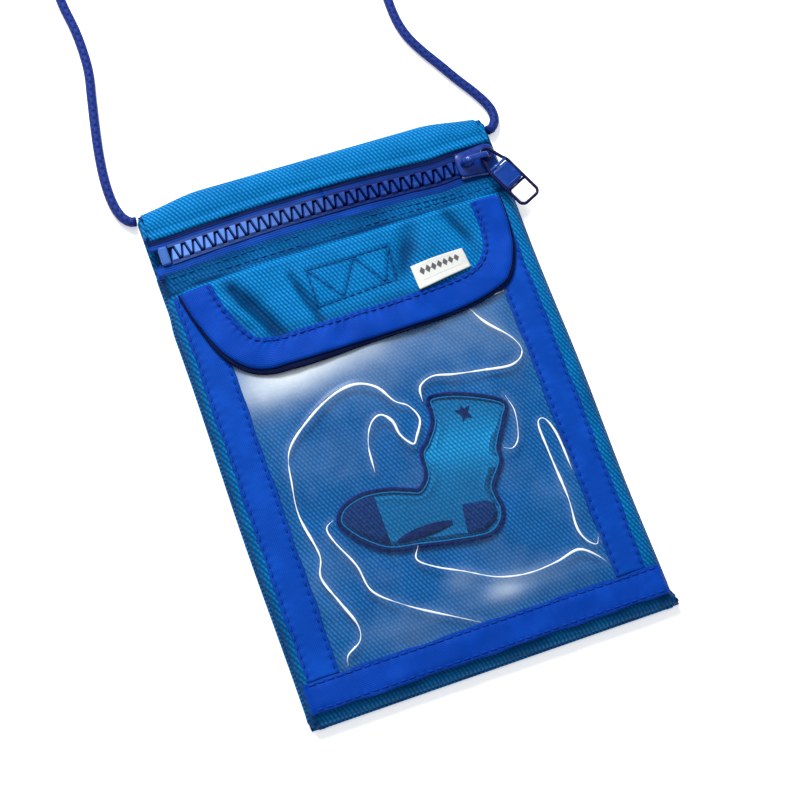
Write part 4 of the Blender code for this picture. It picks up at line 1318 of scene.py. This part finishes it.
# %% Ribbons
def pocket_ribbon(name, node, upright, rows_at, finish, lift=0.75):
    low, high = low_high(node)
    long_axis, wide_axis = (1, 0) if upright else (0, 1)
    length = high[long_axis] - low[long_axis]
    width = high[wide_axis] - low[wide_axis]
    far = np.linspace(0, length, int(length / 0.75))
    across = np.array([0, 0.25, 0.6, 1.0, 1.4, 1.9, 2.6])
    across = np.concatenate([across, np.linspace(3.4, width - 3.4, 8), (width - across)[::-1]])
    f, w = np.meshgrid(far, across, indexing="ij") if upright else np.meshgrid(far, across)
    x, y = (low[0] + w, low[1] + f) if upright else (low[0] + f, low[1] + w)
    edge_gap = np.minimum(w, width - w)
    pucker = 0.5 + 0.5 * np.cos(f * 2 * math.pi / 3.0)
    press = np.exp(-((edge_gap - 1.1) / 0.7) ** 2)
    z = front_height(x, y) + lift - 0.22 * press * (1 - pucker * 0.6)
    z = z + (pucker - 0.5) * 0.22 * np.exp(-((edge_gap - 1.8) / 0.8) ** 2)
    z = z - 0.3 * np.exp(-edge_gap / 0.35) + wander(x, y, 11.0, 3.7) * 0.45 * ease(edge_gap, 1, 3)
    # a waver of the cut edge
    waver = 0.18 * np.sin(f / 5.3) + 0.12 * np.sin(f / 2.1 + 1)
    if upright:
        x = x + waver * np.cos(math.pi * w / width)
    else:
        y = y + waver * np.cos(math.pi * w / width)
    points = np.stack([x, y, z], 2)
    item = cloth(name, points, finish, 0.4)
    # painted shade in the puckers beside the stitches and along the ribbon's edges
    dark = 0.34 * np.exp(-((edge_gap - 0.9) / 0.5) ** 2) * (1 - pucker * 0.7)
    shade(item, dark + 0.28 * np.exp(-edge_gap / 0.5), points)
    threads = []
    for number, place in enumerate(rows_at):
        at = place if place >= 0 else width + place
        if upright:
            path = [(low[0] + at, low[1] + 1.0), (low[0] + at, high[1] - 1.0)]
        else:
            path = [(low[0] + 1.5, low[1] + at), (high[0] - 1.5, low[1] + at)]
        threads.append(stitches(f"{name}_stitches_{number + 1}", path,
                                above(front_height, lift - 0.12), ROYAL_THREAD, thick=0.27))
    return item, threads


RIBBONS = [("left_ribbon", "ribbon_left", True, (0.75, -1.2), RIBBON_SIDE, 0.75),
           ("right_ribbon", "ribbon_right", True, (1.2, -0.9), RIBBON_SIDE, 0.75),
           ("bottom_ribbon", "ribbon_bottom", False, (1.2, -1.0), RIBBON, 1.15),
           ("mouth_ribbon", "pocket_mouth_binding", False, (1.0, -1.0), RIBBON, 0.95)]
for name, node, upright, places, finish, lift in RIBBONS:
    ribbon, threads = pocket_ribbon(name, node, upright, places, finish, lift)
    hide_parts(node)
    for piece in (ribbon, *threads):
        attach(piece, "pouch")
print("four ribbons of the pocket are sewn")

# %% [markdown]
# The emblem under the film is a sock: light blue woven cloth, navy heel and toe, and a corded
# outline. The outline is one closed curve. The flat parts are made by filling it: one face is
# laid on the curve, cut into triangles, and split until they follow the cloth underneath.

# %% Sock outline
SOCK = [(9.3, -2.8), (19.0, -4.8), (30.7, -10.9), (28.8, -16.1), (23.9, -24.1), (22.9, -29.2),
        (18.0, -35.4), (17.6, -39.4), (18.0, -43.5), (16.1, -47.5), (11.2, -50.0), (-0.5, -48.5),
        (-10.3, -46.5), (-20.0, -44.5), (-26.9, -39.4), (-30.8, -34.4), (-31.7, -31.2),
        (-28.8, -27.8), (-22.0, -26.1), (-14.2, -27.1), (-8.3, -29.2), (-4.4, -30.2),
        (-0.5, -26.1), (0.5, -19.1), (3.4, -16.1), (7.3, -10.9), (8.3, -6.8)]
HEEL = [(6.5, -38.5), (14.1, -39.5), (16.5, -41.1), (16.6, -44.0), (15.1, -46.8), (11.1, -48.8),
        (5.1, -48.0)]
TOE_LINE = -19.3
SOCK_LINE = spline(SOCK, 0.7, closed=True)


def inside(line, x, y):
    """True where places lie inside a closed line."""
    hit = np.zeros(x.shape, bool)
    for (ax, ay), (bx, by) in zip(line, np.roll(line, -1, 0)):
        crosses = (ay > y) != (by > y)
        with np.errstate(divide="ignore", invalid="ignore"):
            hit ^= crosses & (x < (bx - ax) * (y - ay) / (by - ay) + ax)
    return hit


def line_gap(line, x, y, closed=True):
    """Distance from places to a line of points."""
    ends = np.roll(line, -1, 0) if closed else line[1:]
    best = np.full(x.shape, 1e9)
    for a, b in zip(line if closed else line[:-1], ends):
        best = np.minimum(best, near_line(x, y, a, b)[0])
    return best


def emblem(name, line, finish, lift, bulge, tone=None):
    """Cloth cut to a closed line; small triangles follow the front, and it bulges inside."""
    line = np.asarray(line)
    count = len(line)
    vertices = [(*p, float(front_height(*p)) + lift - 0.25) for p in line]
    vertices += [(*p, float(front_height(*p)) + lift) for p in line]
    rim = line.copy()
    faces = [[k, (k + 1) % count, count + (k + 1) % count, count + k] for k in range(count)]
    mesh = bpy.data.meshes.new(name)
    mesh.from_pydata([(p[0] * MM, p[1] * MM, p[2] * MM) for p in vertices], [], faces)
    work = bmesh.new()
    work.from_mesh(mesh)
    work.verts.ensure_lookup_table()
    loop = [work.verts[count + k] for k in range(count)]
    top = work.faces.new(loop)
    work.faces.new([work.verts[k] for k in range(count)][::-1])
    bmesh.ops.triangulate(work, faces=[top])
    for _ in range(3):
        inner = [e for e in work.edges
                 if all(f.normal.z > 0.5 for f in e.link_faces) and e.calc_length() > 1.3 * MM]
        bmesh.ops.subdivide_edges(work, edges=inner, cuts=1)
        bmesh.ops.triangulate(work, faces=[f for f in work.faces if len(f.verts) > 3 and f.normal.z > 0.5])
        work.normal_update()
    flat = work.loops.layers.uv.new("flat")
    for v in work.verts:
        if v.co.z > 4 * MM and not any(abs(f.normal.z) < 0.3 for f in v.link_faces):
            x, y = v.co.x / MM, v.co.y / MM
            gap = float(line_gap(rim, np.array([x]), np.array([y]))[0])
            v.co.z = (float(front_height(x, y)) + lift + bulge * float(ease(gap, 0, 4))) * MM
    for face in work.faces:
        face.smooth = True
        for corner in face.loops:
            corner[flat].uv = (corner.vert.co.x / MM, corner.vert.co.y / MM)
    work.normal_update()
    bmesh.ops.recalc_face_normals(work, faces=work.faces)
    work.to_mesh(mesh)
    work.free()
    mesh.materials.append(finish)
    if tone:
        layer = mesh.attributes.new("shade", "FLOAT", "POINT")
        layer.data.foreach_set("value", [tone(v.co.x / MM, v.co.y / MM) for v in mesh.vertices])
    item = bpy.data.objects.new(name, mesh)
    bpy.context.scene.collection.objects.link(item)
    PIECES[name] = item
    return item


def sock_tone(x, y):
    """The leg catches the light in its middle; the foot and the cuff are deeper."""
    bright = math.exp(-((y + 18 + 0.15 * x) / 8.0) ** 2)
    return 0.62 - 0.6 * bright


SOCK_CLOTH = twill_finish("sock_cloth", (0.006, 0.640, 1.000), (0.0010, 0.130, 0.420), 0.1)
SOCK_NAVY = twill_finish("sock_navy", (0.008, 0.060, 0.240), (0.001, 0.010, 0.080), 0.1)
SOCK_CORD = thread_finish("sock_cord_navy", (0.0005, 0.006, 0.070), (0.001, 0.014, 0.110))
SOCK_THREAD = thread_finish("sock_light_thread", (0.004, 0.200, 0.560), (0.006, 0.300, 0.700))
sock = emblem("sock_field", SOCK_LINE, SOCK_CLOTH, 0.35, 0.25, sock_tone)
toe_line = np.array([p + (0.5, 0) for p in SOCK_LINE if p[0] < TOE_LINE])
toe = emblem("sock_toe_cloth", toe_line, SOCK_NAVY, 0.8, 0.2)
heel = emblem("sock_heel_cloth", resample(np.array(HEEL + HEEL[:1]), 0.8)[:-1], SOCK_NAVY, 0.8, 0.1)
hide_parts("sock_patch")
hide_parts("sock_toe")
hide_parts("sock_heel")


def sock_cord():
    """Two-ply cord couched round the emblem, with a thin light thread beside it."""
    line = spline(SOCK, 0.35, closed=True)
    along = np.roll(line, -1, 0) - np.roll(line, 1, 0)
    along /= np.linalg.norm(along, axis=1, keepdims=True)
    side = np.stack([-along[:, 1], along[:, 0]], 1)
    far = np.arange(len(line)) * 0.35
    paths = []
    for out, rise in ((0.62, 0.95), (-0.35, 0.85), (1.25, 0.62)):
        place = line + side * out
        z = front_height(place[:, 0], place[:, 1]) + rise + 0.07 * np.sin(far * 2 * math.pi / 1.7 + out)
        paths.append(np.column_stack([place, z]))
    cord_out = tube("sock_outline_cord", paths[0], 0.52 + 0.07 * np.sin(far * 2 * math.pi / 1.7),
                    SOCK_CORD, 8, closed=True)
    light = tube("sock_outline_thread", paths[1], 0.24, SOCK_THREAD, 6, closed=True)
    outer = tube("sock_outer_thread", paths[2], 0.22, ROYAL_THREAD, 6, closed=True)
    return cord_out, light, outer


sock_line_pieces = sock_cord()
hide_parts("sock_border")
emblem_marks = []
SOLE_MARK = [(-16.6, -43.4), (-10.5, -42.9), (-3.5, -42.8), (1.6, -42.9)]
CUFF_MARKS = [[(15.0, -8.8), (17.2, -10.4), (16.6, -12.8)], [(20.0, -8.6), (18.2, -10.4), (19.6, -12.6)],
              [(17.4, -7.8), (17.8, -12.4)]]
for number, mark in enumerate([SOLE_MARK, *CUFF_MARKS]):
    place = spline(mark, 0.5)
    z = front_height(place[:, 0], place[:, 1]) + 0.75
    swell_mark = np.sin(np.linspace(0.15, math.pi - 0.15, len(place)))
    width = 1.75 * swell_mark ** 0.5 if number == 0 else 0.75 * swell_mark
    emblem_marks.append(tube(f"sock_mark_{number + 1}", np.column_stack([place, z]), width,
                             SOCK_CORD, 8, squash=0.22))
for piece in (sock, toe, heel, *sock_line_pieces, *emblem_marks):
    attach(piece, "pouch")
print("sock emblem with", len(PIECES), "pieces so far")

# %% [markdown]
# The film is soft clear plastic that has been folded and flattened many times. Old folds stay
# as sharp white lines, where the plastic is stretched and milky, drawn with a painted highlight
# and a faint glow; the film between them is almost clear, with a light haze and pale patches of
# painted reflection of the sky where it lifts off the cloth. The shader mixes a transparent and a
# glossy part, and the share of the glossy part is stored on the mesh.

# %% Folds in the film
FOLDS = [
    ([(-44.6, -75.1), (-43.6, -72.1), (-38.7, -69.0), (-37.8, -64.0), (-40.7, -55.8), (-43.6, -46.7),
      (-41.7, -39.6), (-43.6, -26.4), (-42.6, -16.3), (-39.7, -5.1), (-30.0, 3.0), (-20.2, 8.0),
      (-12.5, 9.0), (-6.6, 6.0), (-2.7, -0.1), (1.2, -3.1), (3.1, -8.2), (0.2, -13.3),
      (-1.8, -15.3), (-4.7, -11.2), (-5.6, -6.2), (-8.6, -3.1), (-12.5, -5.1), (-15.4, -11.2),
      (-16.4, -20.4)], 0.50),
    ([(31.8, 22.2), (35.2, 16.1), (42.0, 8.0), (43.0, 3.0), (38.1, -0.1), (28.4, 0.9), (18.7, 2.5),
      (11.9, 4.0), (7.0, 1.9), (6.0, -3.1)], 0.46),
    ([(-33.9, -30.5), (-36.8, -32.5), (-35.8, -37.6), (-31.9, -46.7), (-30.0, -55.8),
      (-22.2, -62.9), (-12.5, -69.0), (-0.8, -75.6)], 0.34),
    ([(-11.5, -46.7), (-13.4, -50.8), (-8.6, -54.8), (-0.8, -58.9), (8.9, -64.0), (18.7, -66.0),
      (28.4, -65.5), (36.2, -64.0), (41.1, -67.0), (44.0, -70.0)], 0.46),
    ([(44.5, -38.6), (44.0, -26.4), (42.0, -20.4), (39.1, -21.4), (39.1, -31.5), (39.6, -46.7),
      (38.6, -56.9), (40.1, -61.9), (43.0, -64.0), (44.5, -61.9)], 0.42),
    ([(32.3, -9.2), (33.3, -15.3), (31.3, -23.4), (28.4, -26.4), (25.5, -25.4)], 0.26),
    ([(39.1, 24.3), (45.0, 24.8)], 0.5)]
# patches of painted reflection of the sky on the film: place, size and strength
GLARE_PATCHES = [((-39, 18), (16, 9), 0.60), ((-22, 20), (17, 6.5), 0.46), ((-6, 21), (15, 6), 0.26),
        ((4, 17), (44, 13), 0.17), ((10, -68.5), (7, 3.5), 0.40), ((-3, -61), (6, 4), 0.22),
        ((38, 12), (8, 14), 0.10),
        ((-30, -15), (14, 20), 0.03), ((20, -68), (26, 7), 0.14), ((-20, -70), (18, 7), 0.14)]
film_low, film_high = low_high("window_film")


def film_height(x, y):
    """Upper face of the film: pressed at its rim, lifted over the emblem."""
    inset = np.minimum(np.minimum(x - film_low[0], film_high[0] - x), y - film_low[1])
    inset = np.minimum(inset, film_high[1] - y)
    rise = 1.25 * ease(inset, 3.0, 9.0) * (1 - 0.6 * ease(y, 8, 20))
    return front_height(x, y) + 0.45 + rise + wander(x, y, 16.0, 9.3) * 0.6 * ease(inset, 4, 12)


fold_lines = [(spline(points, 0.5), width) for points, width in FOLDS]


def film_sheet():
    xs = np.linspace(film_low[0], film_high[0], 150)
    ys = np.linspace(film_low[1], film_high[1], 165)
    x, y = np.meshgrid(xs, ys)
    z = film_height(x, y)
    near = np.full(x.shape, 1e9)
    for line, _ in fold_lines:
        coarse = resample(line, 1.5)
        near = np.minimum(near, line_gap(coarse, x, y, closed=False))
    z = z + 0.35 * np.exp(-(near / 1.2) ** 2) - 0.12 * np.exp(-((near - 2.4) / 1.0) ** 2)
    over_sock = inside(SOCK_LINE, x, y) | (line_gap(resample(SOCK_LINE, 2.0), x, y) < 1.2)
    haze_and_glare = np.full(x.shape, 0.030)
    for (cx, cy), (wide, tall), strength in GLARE_PATCHES:
        haze_and_glare = haze_and_glare + strength * np.exp(-((x - cx) / wide) ** 2 - ((y - cy) / tall) ** 2)
    haze_and_glare = haze_and_glare + wander(x, y, 18.0, 12.0) * 0.10 + wander(x, y, 5.0, 2.0) * 0.04
    haze_and_glare = haze_and_glare + 0.07 * np.exp(-((near - 0.6) / 1.1) ** 2)
    haze_and_glare = np.where(over_sock, 0.03, haze_and_glare)
    points = np.stack([x, y, z], 2)
    item = cloth("clear_film", points, film_finish(), 0.3)
    shade(item, np.clip(haze_and_glare, 0.02, 0.95), points)
    return item


def film_finish():
    finish = Finish("clear_soft_film", 0.22, Specular_IOR_Level=0.5)
    # the stored share is the film's light haze, with painted reflection of the sky in pale patches
    milk_and_glare = finish.stored_shade()
    film_scratch = finish.grain(0.7, 4, roughness=0.6)
    pale = finish.mix(milk_and_glare.clip(), (0.20, 0.42, 0.78), (0.74, 0.80, 0.86))
    finish.paint(pale, film_scratch, 0.05, 0.4, 0.18 + film_scratch * 0.16)
    clear = finish.node("ShaderNodeBsdfTransparent", None, {"Color": (0.92, 0.89, 0.93)})
    solid = Value(finish, finish.shader.outputs["BSDF"])
    share = (milk_and_glare + (film_scratch - 0.5) * 0.12).clip(0.02, 0.95)
    both = finish.node("ShaderNodeMixShader", None, (share, clear, solid))
    out = finish.tree.nodes["Material Output"]
    finish.tree.links.new(both.socket, out.inputs["Surface"])
    return finish.material


film = film_sheet()
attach(film, "pouch")
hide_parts("window_film")
print("film with", len(FOLDS), "old folds")


# %% White fold lines
def fold_finish():
    # painted highlight: the folds are drawn near white with a faint glow, over the milky stretched plastic
    finish = Finish("stretched_film_painted_highlight", 0.25, Coat_Weight=0.4, Emission_Strength=0.12)
    finish.shader.inputs["Emission Color"].default_value = (0.9, 0.95, 1.0, 1.0)
    milk_and_glare = finish.grain(0.5, 3)
    colour = finish.mix(milk_and_glare, (0.72, 0.80, 0.90), (0.96, 0.97, 1.0))
    return finish.paint(colour, milk_and_glare, 0.05, 0.4)


FOLD_WHITE = fold_finish()
for number, (line, width) in enumerate(fold_lines):
    far = np.arange(len(line)) * 0.5
    slow, quick = wander(far, 0 * far, 9.0, number + 0.5), wander(far, 0 * far, 2.5, 7.0)
    size = 0.85 * width * (0.80 + 0.75 * slow + 0.25 * quick)
    ends = np.minimum(ease(far, -0.5, 5), ease(far[-1] - far, -0.5, 5))
    z = film_height(line[:, 0], line[:, 1]) + 0.36
    bead = tube(f"film_fold_{number + 1}", np.column_stack([line, z]), np.maximum(size * ends, 0.05),
                FOLD_WHITE, 8, squash=0.5)
    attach(bead, "pouch")
print(len(fold_lines), "fold lines laid on the film")

# %% [markdown]
# ## Slider and pull
# The slider is die-cast and lacquered blue. Its top plate is a soft pillow with a shoulder on
# each side; a bail arches over it, and the pull turns on the bail's right foot. Each is a
# stack of outlines, which a subdivision surface turns into a cast shape.

# %% Slider
slider_low, slider_high = low_high("slider_body")
bail_low, bail_high = low_high("slider_bail")
pull_low, pull_high = low_high("pull_frame")


def lacquer(name, light, deep, coat=0.5):
    finish = Finish(name, 0.3, Coat_Weight=coat, Coat_Roughness=0.12, Specular_IOR_Level=0.15)
    place = finish.node("ShaderNodeTexCoord", None, (), out=3)
    speck = finish.grain(900, 3, place)
    worn = finish.grain(220, 4, place)
    colour = finish.mix(speck, deep, light)
    colour = finish.mix((worn - 0.62) * 1.6, colour, brighter(light, 2, 0.05))
    return finish.paint(colour, speck, 0.02, 0.3, 0.26 + speck * 0.14)


SLIDER_BLUE = lacquer("slider_lacquer", (0.005, 0.045, 0.300), (0.001, 0.012, 0.140), 0.12)
# pale lacquer for the near flange: a painted highlight along its edge
SLIDER_HIGHLIGHT = lacquer("slider_painted_highlight", (0.330, 0.360, 0.620), (0.100, 0.130, 0.400))
BAIL_BLUE = lacquer("bail_lacquer", (0.006, 0.055, 0.350), (0.002, 0.022, 0.210), 0.6)
PULL_NAVY = lacquer("pull_wire_lacquer", (0.0010, 0.004, 0.075), (0.0003, 0.0015, 0.035), 0.15)
PANEL_BLUE = lacquer("pull_panel_lacquer", (0.004, 0.050, 0.310), (0.002, 0.030, 0.220), 0.12)
BAR_BLUE = lacquer("pull_bar_lacquer", (0.020, 0.110, 0.450), (0.008, 0.060, 0.320), 0.4)


def stack(name, rings, finish, subdivide=1):
    """Closed shape from a stack of outlines of equal count."""
    vertices = [p for ring in rings for p in ring]
    count = len(rings[0])
    faces = []
    for r in range(len(rings) - 1):
        for k in range(count):
            m = (k + 1) % count
            p = r * count
            faces.append([p + k, p + m, p + count + m, p + count + k])
    faces.append(list(range(count))[::-1])
    top = (len(rings) - 1) * count
    faces.append([top + k for k in range(count)])
    item = keep(name, vertices, faces, finish, [(v[0], v[1]) for v in vertices])
    if subdivide:
        smooth = item.modifiers.new("cast surface", "SUBSURF")
        smooth.levels = subdivide
        smooth.render_levels = subdivide
    return item


SLIDER_HALF = (slider_high[1] - slider_low[1]) / 2


def slider_plan(grow):
    """Outline of the slider's plates, counter-clockwise: narrow tail, broad shoulders."""
    left, right = slider_low[0] + 0.2 - grow, slider_high[0] - 0.1 + grow
    broad = SLIDER_HALF + grow
    tail = broad - 0.8
    middle = left + 5.5
    lower = [(left, -tail * 0.35), (left + 0.3, -tail * 0.78), (left + 1.3, -tail), (middle, -tail - 0.05),
             (middle + 3.5, -broad + 0.15), (right - 2.5, -broad), (right - 0.7, -broad * 0.86),
             (right, -broad * 0.5), (right - 0.4, -0.8)]
    upper = [(x, -y) for x, y in reversed(lower)]
    return [(x, CHAIN_Y + y) for x, y in lower + upper]


def plate_stack(name, low, high, dome_rise):
    rings = []
    for grow, share in ((-0.7, 0.0), (-0.15, 0.06), (0.0, 0.3), (0.0, 0.62), (-0.25, 0.86), (-0.9, 1.0)):
        rings.append([(x, y, low + (high - low) * share) for x, y in slider_plan(grow)])
    for shrink, rise in ((-1.8, 0.6), (-2.8, 1.0)):
        rings.append([(x, y, high + dome_rise * rise) for x, y in slider_plan(shrink)])
    return stack(name, rings, SLIDER_BLUE)


top_plate = plate_stack("slider_top_plate", slider_high[2] - 1.35, slider_high[2] - 0.1, 0.35)
low_plate = plate_stack("slider_lower_plate", slider_low[2], slider_low[2] + 1.2, 0.0)
wide_x, tip_x = slider_high[0] - 0.6, slider_high[0] - 5.2
wedge_plan = [(tip_x, -0.35), (tip_x, 0.35), (wide_x, 1.15), (wide_x, -1.15)]
wedge_rings = [[(x, CHAIN_Y + y, z) for x, y in wedge_plan]
               for z in (slider_low[2] + 0.5, slider_high[2] - 0.6)]
wedge = stack("slider_wedge", wedge_rings, SLIDER_BLUE, 0)


def flange(name, side):
    """Side wall between a plate and the tape slot."""
    left, right = slider_low[0], slider_high[0]
    plan = [(left + 1.0, 1.15), (left + 6.0, 1.05), (left + 9.5, 0.45), (right - 1.6, 0.35)]
    line = spline([(x, CHAIN_Y + side * (SLIDER_HALF - inset)) for x, inset in plan], 0.8)
    points = np.column_stack([line, np.full(len(line), slider_high[2] - 1.9)])
    # the near flange carries the painted highlight
    return tube(name, points, 0.42, SLIDER_BLUE if side > 0 else SLIDER_HIGHLIGHT, 10, squash=2.4)


flanges = [flange("slider_upper_flange", 1), flange("slider_near_flange", -1)]
for piece in (top_plate, low_plate, wedge, *flanges):
    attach(piece, "zip_slider")
    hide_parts("slider_body")


def bail():
    """Arch over the slider: a flat wire that rises from a foot at each end."""
    z0, z1 = slider_high[2] - 0.1, bail_high[2] - 0.65
    left, right = bail_low[0] + 0.8, bail_high[0] - 0.9
    path = [(left, z0), (left + 0.1, z0 + 1.2), (left + 0.7, z1 - 0.7), (left + 2.0, z1 - 0.05),
            (left + 4.2, z1), (right - 1.8, z1), (right - 0.4, z1 - 0.3), (right, z1 - 1.2), (right, z0)]
    line = spline([(x, CHAIN_Y, z) for x, z in path], 0.35)
    return tube("slider_bail_arch", line, 0.62, BAIL_BLUE, 12, squash=1.75, up=(0, 1, 0))


bail_piece = bail()
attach(bail_piece, "zip_slider")
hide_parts("slider_bail")
nose_line = [(slider_low[0] + far, CHAIN_Y, slider_high[2] + rise)
             for far, rise in ((1.6, 0.15), (3.6, 0.45), (6.0, 0.35))]
nose = tube("slider_nose", nose_line, np.array([0.7, 1.5, 0.9]), BAIL_BLUE, 12, squash=0.55)
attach(nose, "zip_slider")

# %% [markdown]
# The pull is a bent wire frame with an eye round the bail's foot, a moulded panel in its near
# half, and an open window at the far end.

# %% Pull
YAW = math.radians(-65.0)
POST = np.array([bail_high[0] - 0.85, CHAIN_Y])
PULL_Z = (pull_low[2] + pull_high[2]) / 2
PULL_LENGTH = 21.4
WIRE = 0.55


def on_pull(points, z=PULL_Z):
    """Places along and across the pull, turned to its rest direction."""
    c, s = math.cos(YAW), math.sin(YAW)
    return np.array([(POST[0] + x * c - y * s, POST[1] + x * s + y * c, z + (w[0] if w else 0))
                     for x, y, *w in points])


def pull_frame():
    half, end, corner = 4.5 - WIRE, PULL_LENGTH - WIRE, 1.9
    points = [(-2.3 * math.cos(t), 2.3 * math.sin(t)) for t in np.linspace(-1.25, 1.25, 9)]
    lower = [(3.2, 3.1), (5.6, half), (9.0, half), (13.5, half), (end - corner, half)]
    arc = [(end - corner + corner * math.sin(t), half - corner + corner * math.cos(t))
           for t in np.linspace(0.35, 1.22, 4)]
    side = [(end, half - corner - 0.2), (end, 0.0)]
    half_way = lower + arc + side
    back = [(x, -y) for x, y in reversed(half_way[:-1])]
    path = points + half_way + back
    line = spline(path, 0.4, closed=True)
    return tube("pull_wire", on_pull(line), WIRE, PULL_NAVY, 12, closed=True)


def pull_panel():
    half = 4.5 - 2 * WIRE + 0.25
    rings = []
    for grow, z in ((-0.3, -0.55), (0, -0.35), (0, 0.3), (-0.35, 0.5), (-1.0, 0.55)):
        x0, x1, h = 5.6 - grow, 13.4 + grow, half + grow
        shape = [(x0, -h), (x1, -h), (x1, h), (x0, h)]
        fine = []
        for a, b in zip(shape, shape[1:] + shape[:1]):
            for t in (0.06, 0.35, 0.65, 0.94):
                fine.append((a[0] + (b[0] - a[0]) * t, a[1] + (b[1] - a[1]) * t))
        rings.append([tuple(p) for p in on_pull(fine, PULL_Z + z)])
    return stack("pull_panel_plate", rings, PANEL_BLUE)


frame_piece, panel_piece = pull_frame(), pull_panel()
bars = []
for number, place in enumerate((4.9, 13.9)):
    reach = 3.4 if number == 0 else 4.1
    line = on_pull([(place, -reach), (place, 0.0), (place, reach)], PULL_Z + 0.1)
    bars.append(tube(f"pull_bar_{number + 1}", line, 0.5, PULL_NAVY if number else BAR_BLUE, 10))
ridges = []
for number, place in enumerate((6.6, 12.5)):
    line = on_pull([(place, -2.6), (place, 0.0), (place, 2.6)], PULL_Z + 0.52)
    ridges.append(tube(f"pull_ridge_{number + 1}", line, 0.22, BAR_BLUE, 8))
turns = np.linspace(0, 2 * math.pi, 25)[:-1]
eye_ring = on_pull([(1.15 * math.cos(turn), 1.15 * math.sin(turn)) for turn in turns])
eye = tube("pull_eye_collar", eye_ring, 0.4, PULL_NAVY, 10, closed=True)
for piece in (frame_piece, panel_piece, *bars, *ridges, eye):
    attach(piece, "zip_pull")
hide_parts("pull_frame")
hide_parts("pull_panel")
print("slider and pull are cast")

# %% [markdown]
# ## Bartacks and the last seams
# Each end of the cord goes into a corner of the pouch under a dense bar of zigzag stitches. A
# straight seam runs along the lower edge beside the zip, and one just above the flap.

# %% Bartacks and seams
for node in ("bartack_left", "bartack_right"):
    low, high = low_high(node)
    middle = (low + high) / 2
    rise = np.linspace(low[1] + 0.2, high[1] - 2.6, 24)
    zigzag = []
    for index, y in enumerate(rise):
        x = middle[0] + (0.42 if index % 2 else -0.42) * (high[0] - low[0])
        zigzag.append((x, y, high[2] - 0.4 - 0.5 * (abs(x - middle[0]) > 0.6)))
    pad = block(node + "_pad", low + 0.1, high - np.array([0.35, 2.4, 0.6]), BODY, 0.5)
    bar = tube(node + "_thread", np.array(zigzag), 0.24, TWILL_THREAD, 6)
    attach(pad, "pouch")
    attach(bar, "pouch")
    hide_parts(node)

across = np.linspace(-SIDE + 3.5, SIDE - 4.0, 80)
zip_seam = stitches("zip_seam_lower", np.column_stack([across, MOUTH_Y - 1.5 + chain_bow(across)]),
                    above(front_height, 0.25))
flap_seam = stitches("flap_seam", np.column_stack([across, 59.5 + 0 * across + (across + 60) * 0.012]),
                     above(front_height, 0.02))
for piece in (zip_seam, flap_seam):
    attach(piece, "pouch")
print("bartacks and seams are sewn")

# %% The table
def table_top():
    finish = Finish("pale_table", 0.75, Emission_Strength=0.42, Emission_Color=(1.0, 1.0, 1.0, 1.0))
    place = finish.node("ShaderNodeTexCoord", None, (), out=3)
    speck = finish.grain(40, 3, place)
    colour = finish.mix(speck, (0.955, 0.96, 0.965), (0.985, 0.985, 0.985))
    mesh = bpy.data.meshes.new("table")
    half = 5000 * MM
    corners = [(-half, -half, 0), (half, -half, 0), (half, half, 0), (-half, half, 0)]
    mesh.from_pydata(corners, [], [(0, 1, 2, 3)])
    mesh.materials.append(finish.paint(colour, speck, 0.05, 0.3))
    item = bpy.data.objects.new("table", mesh)
    bpy.context.scene.collection.objects.link(item)
    return item


table_top()
print("pieces:", len(PIECES))
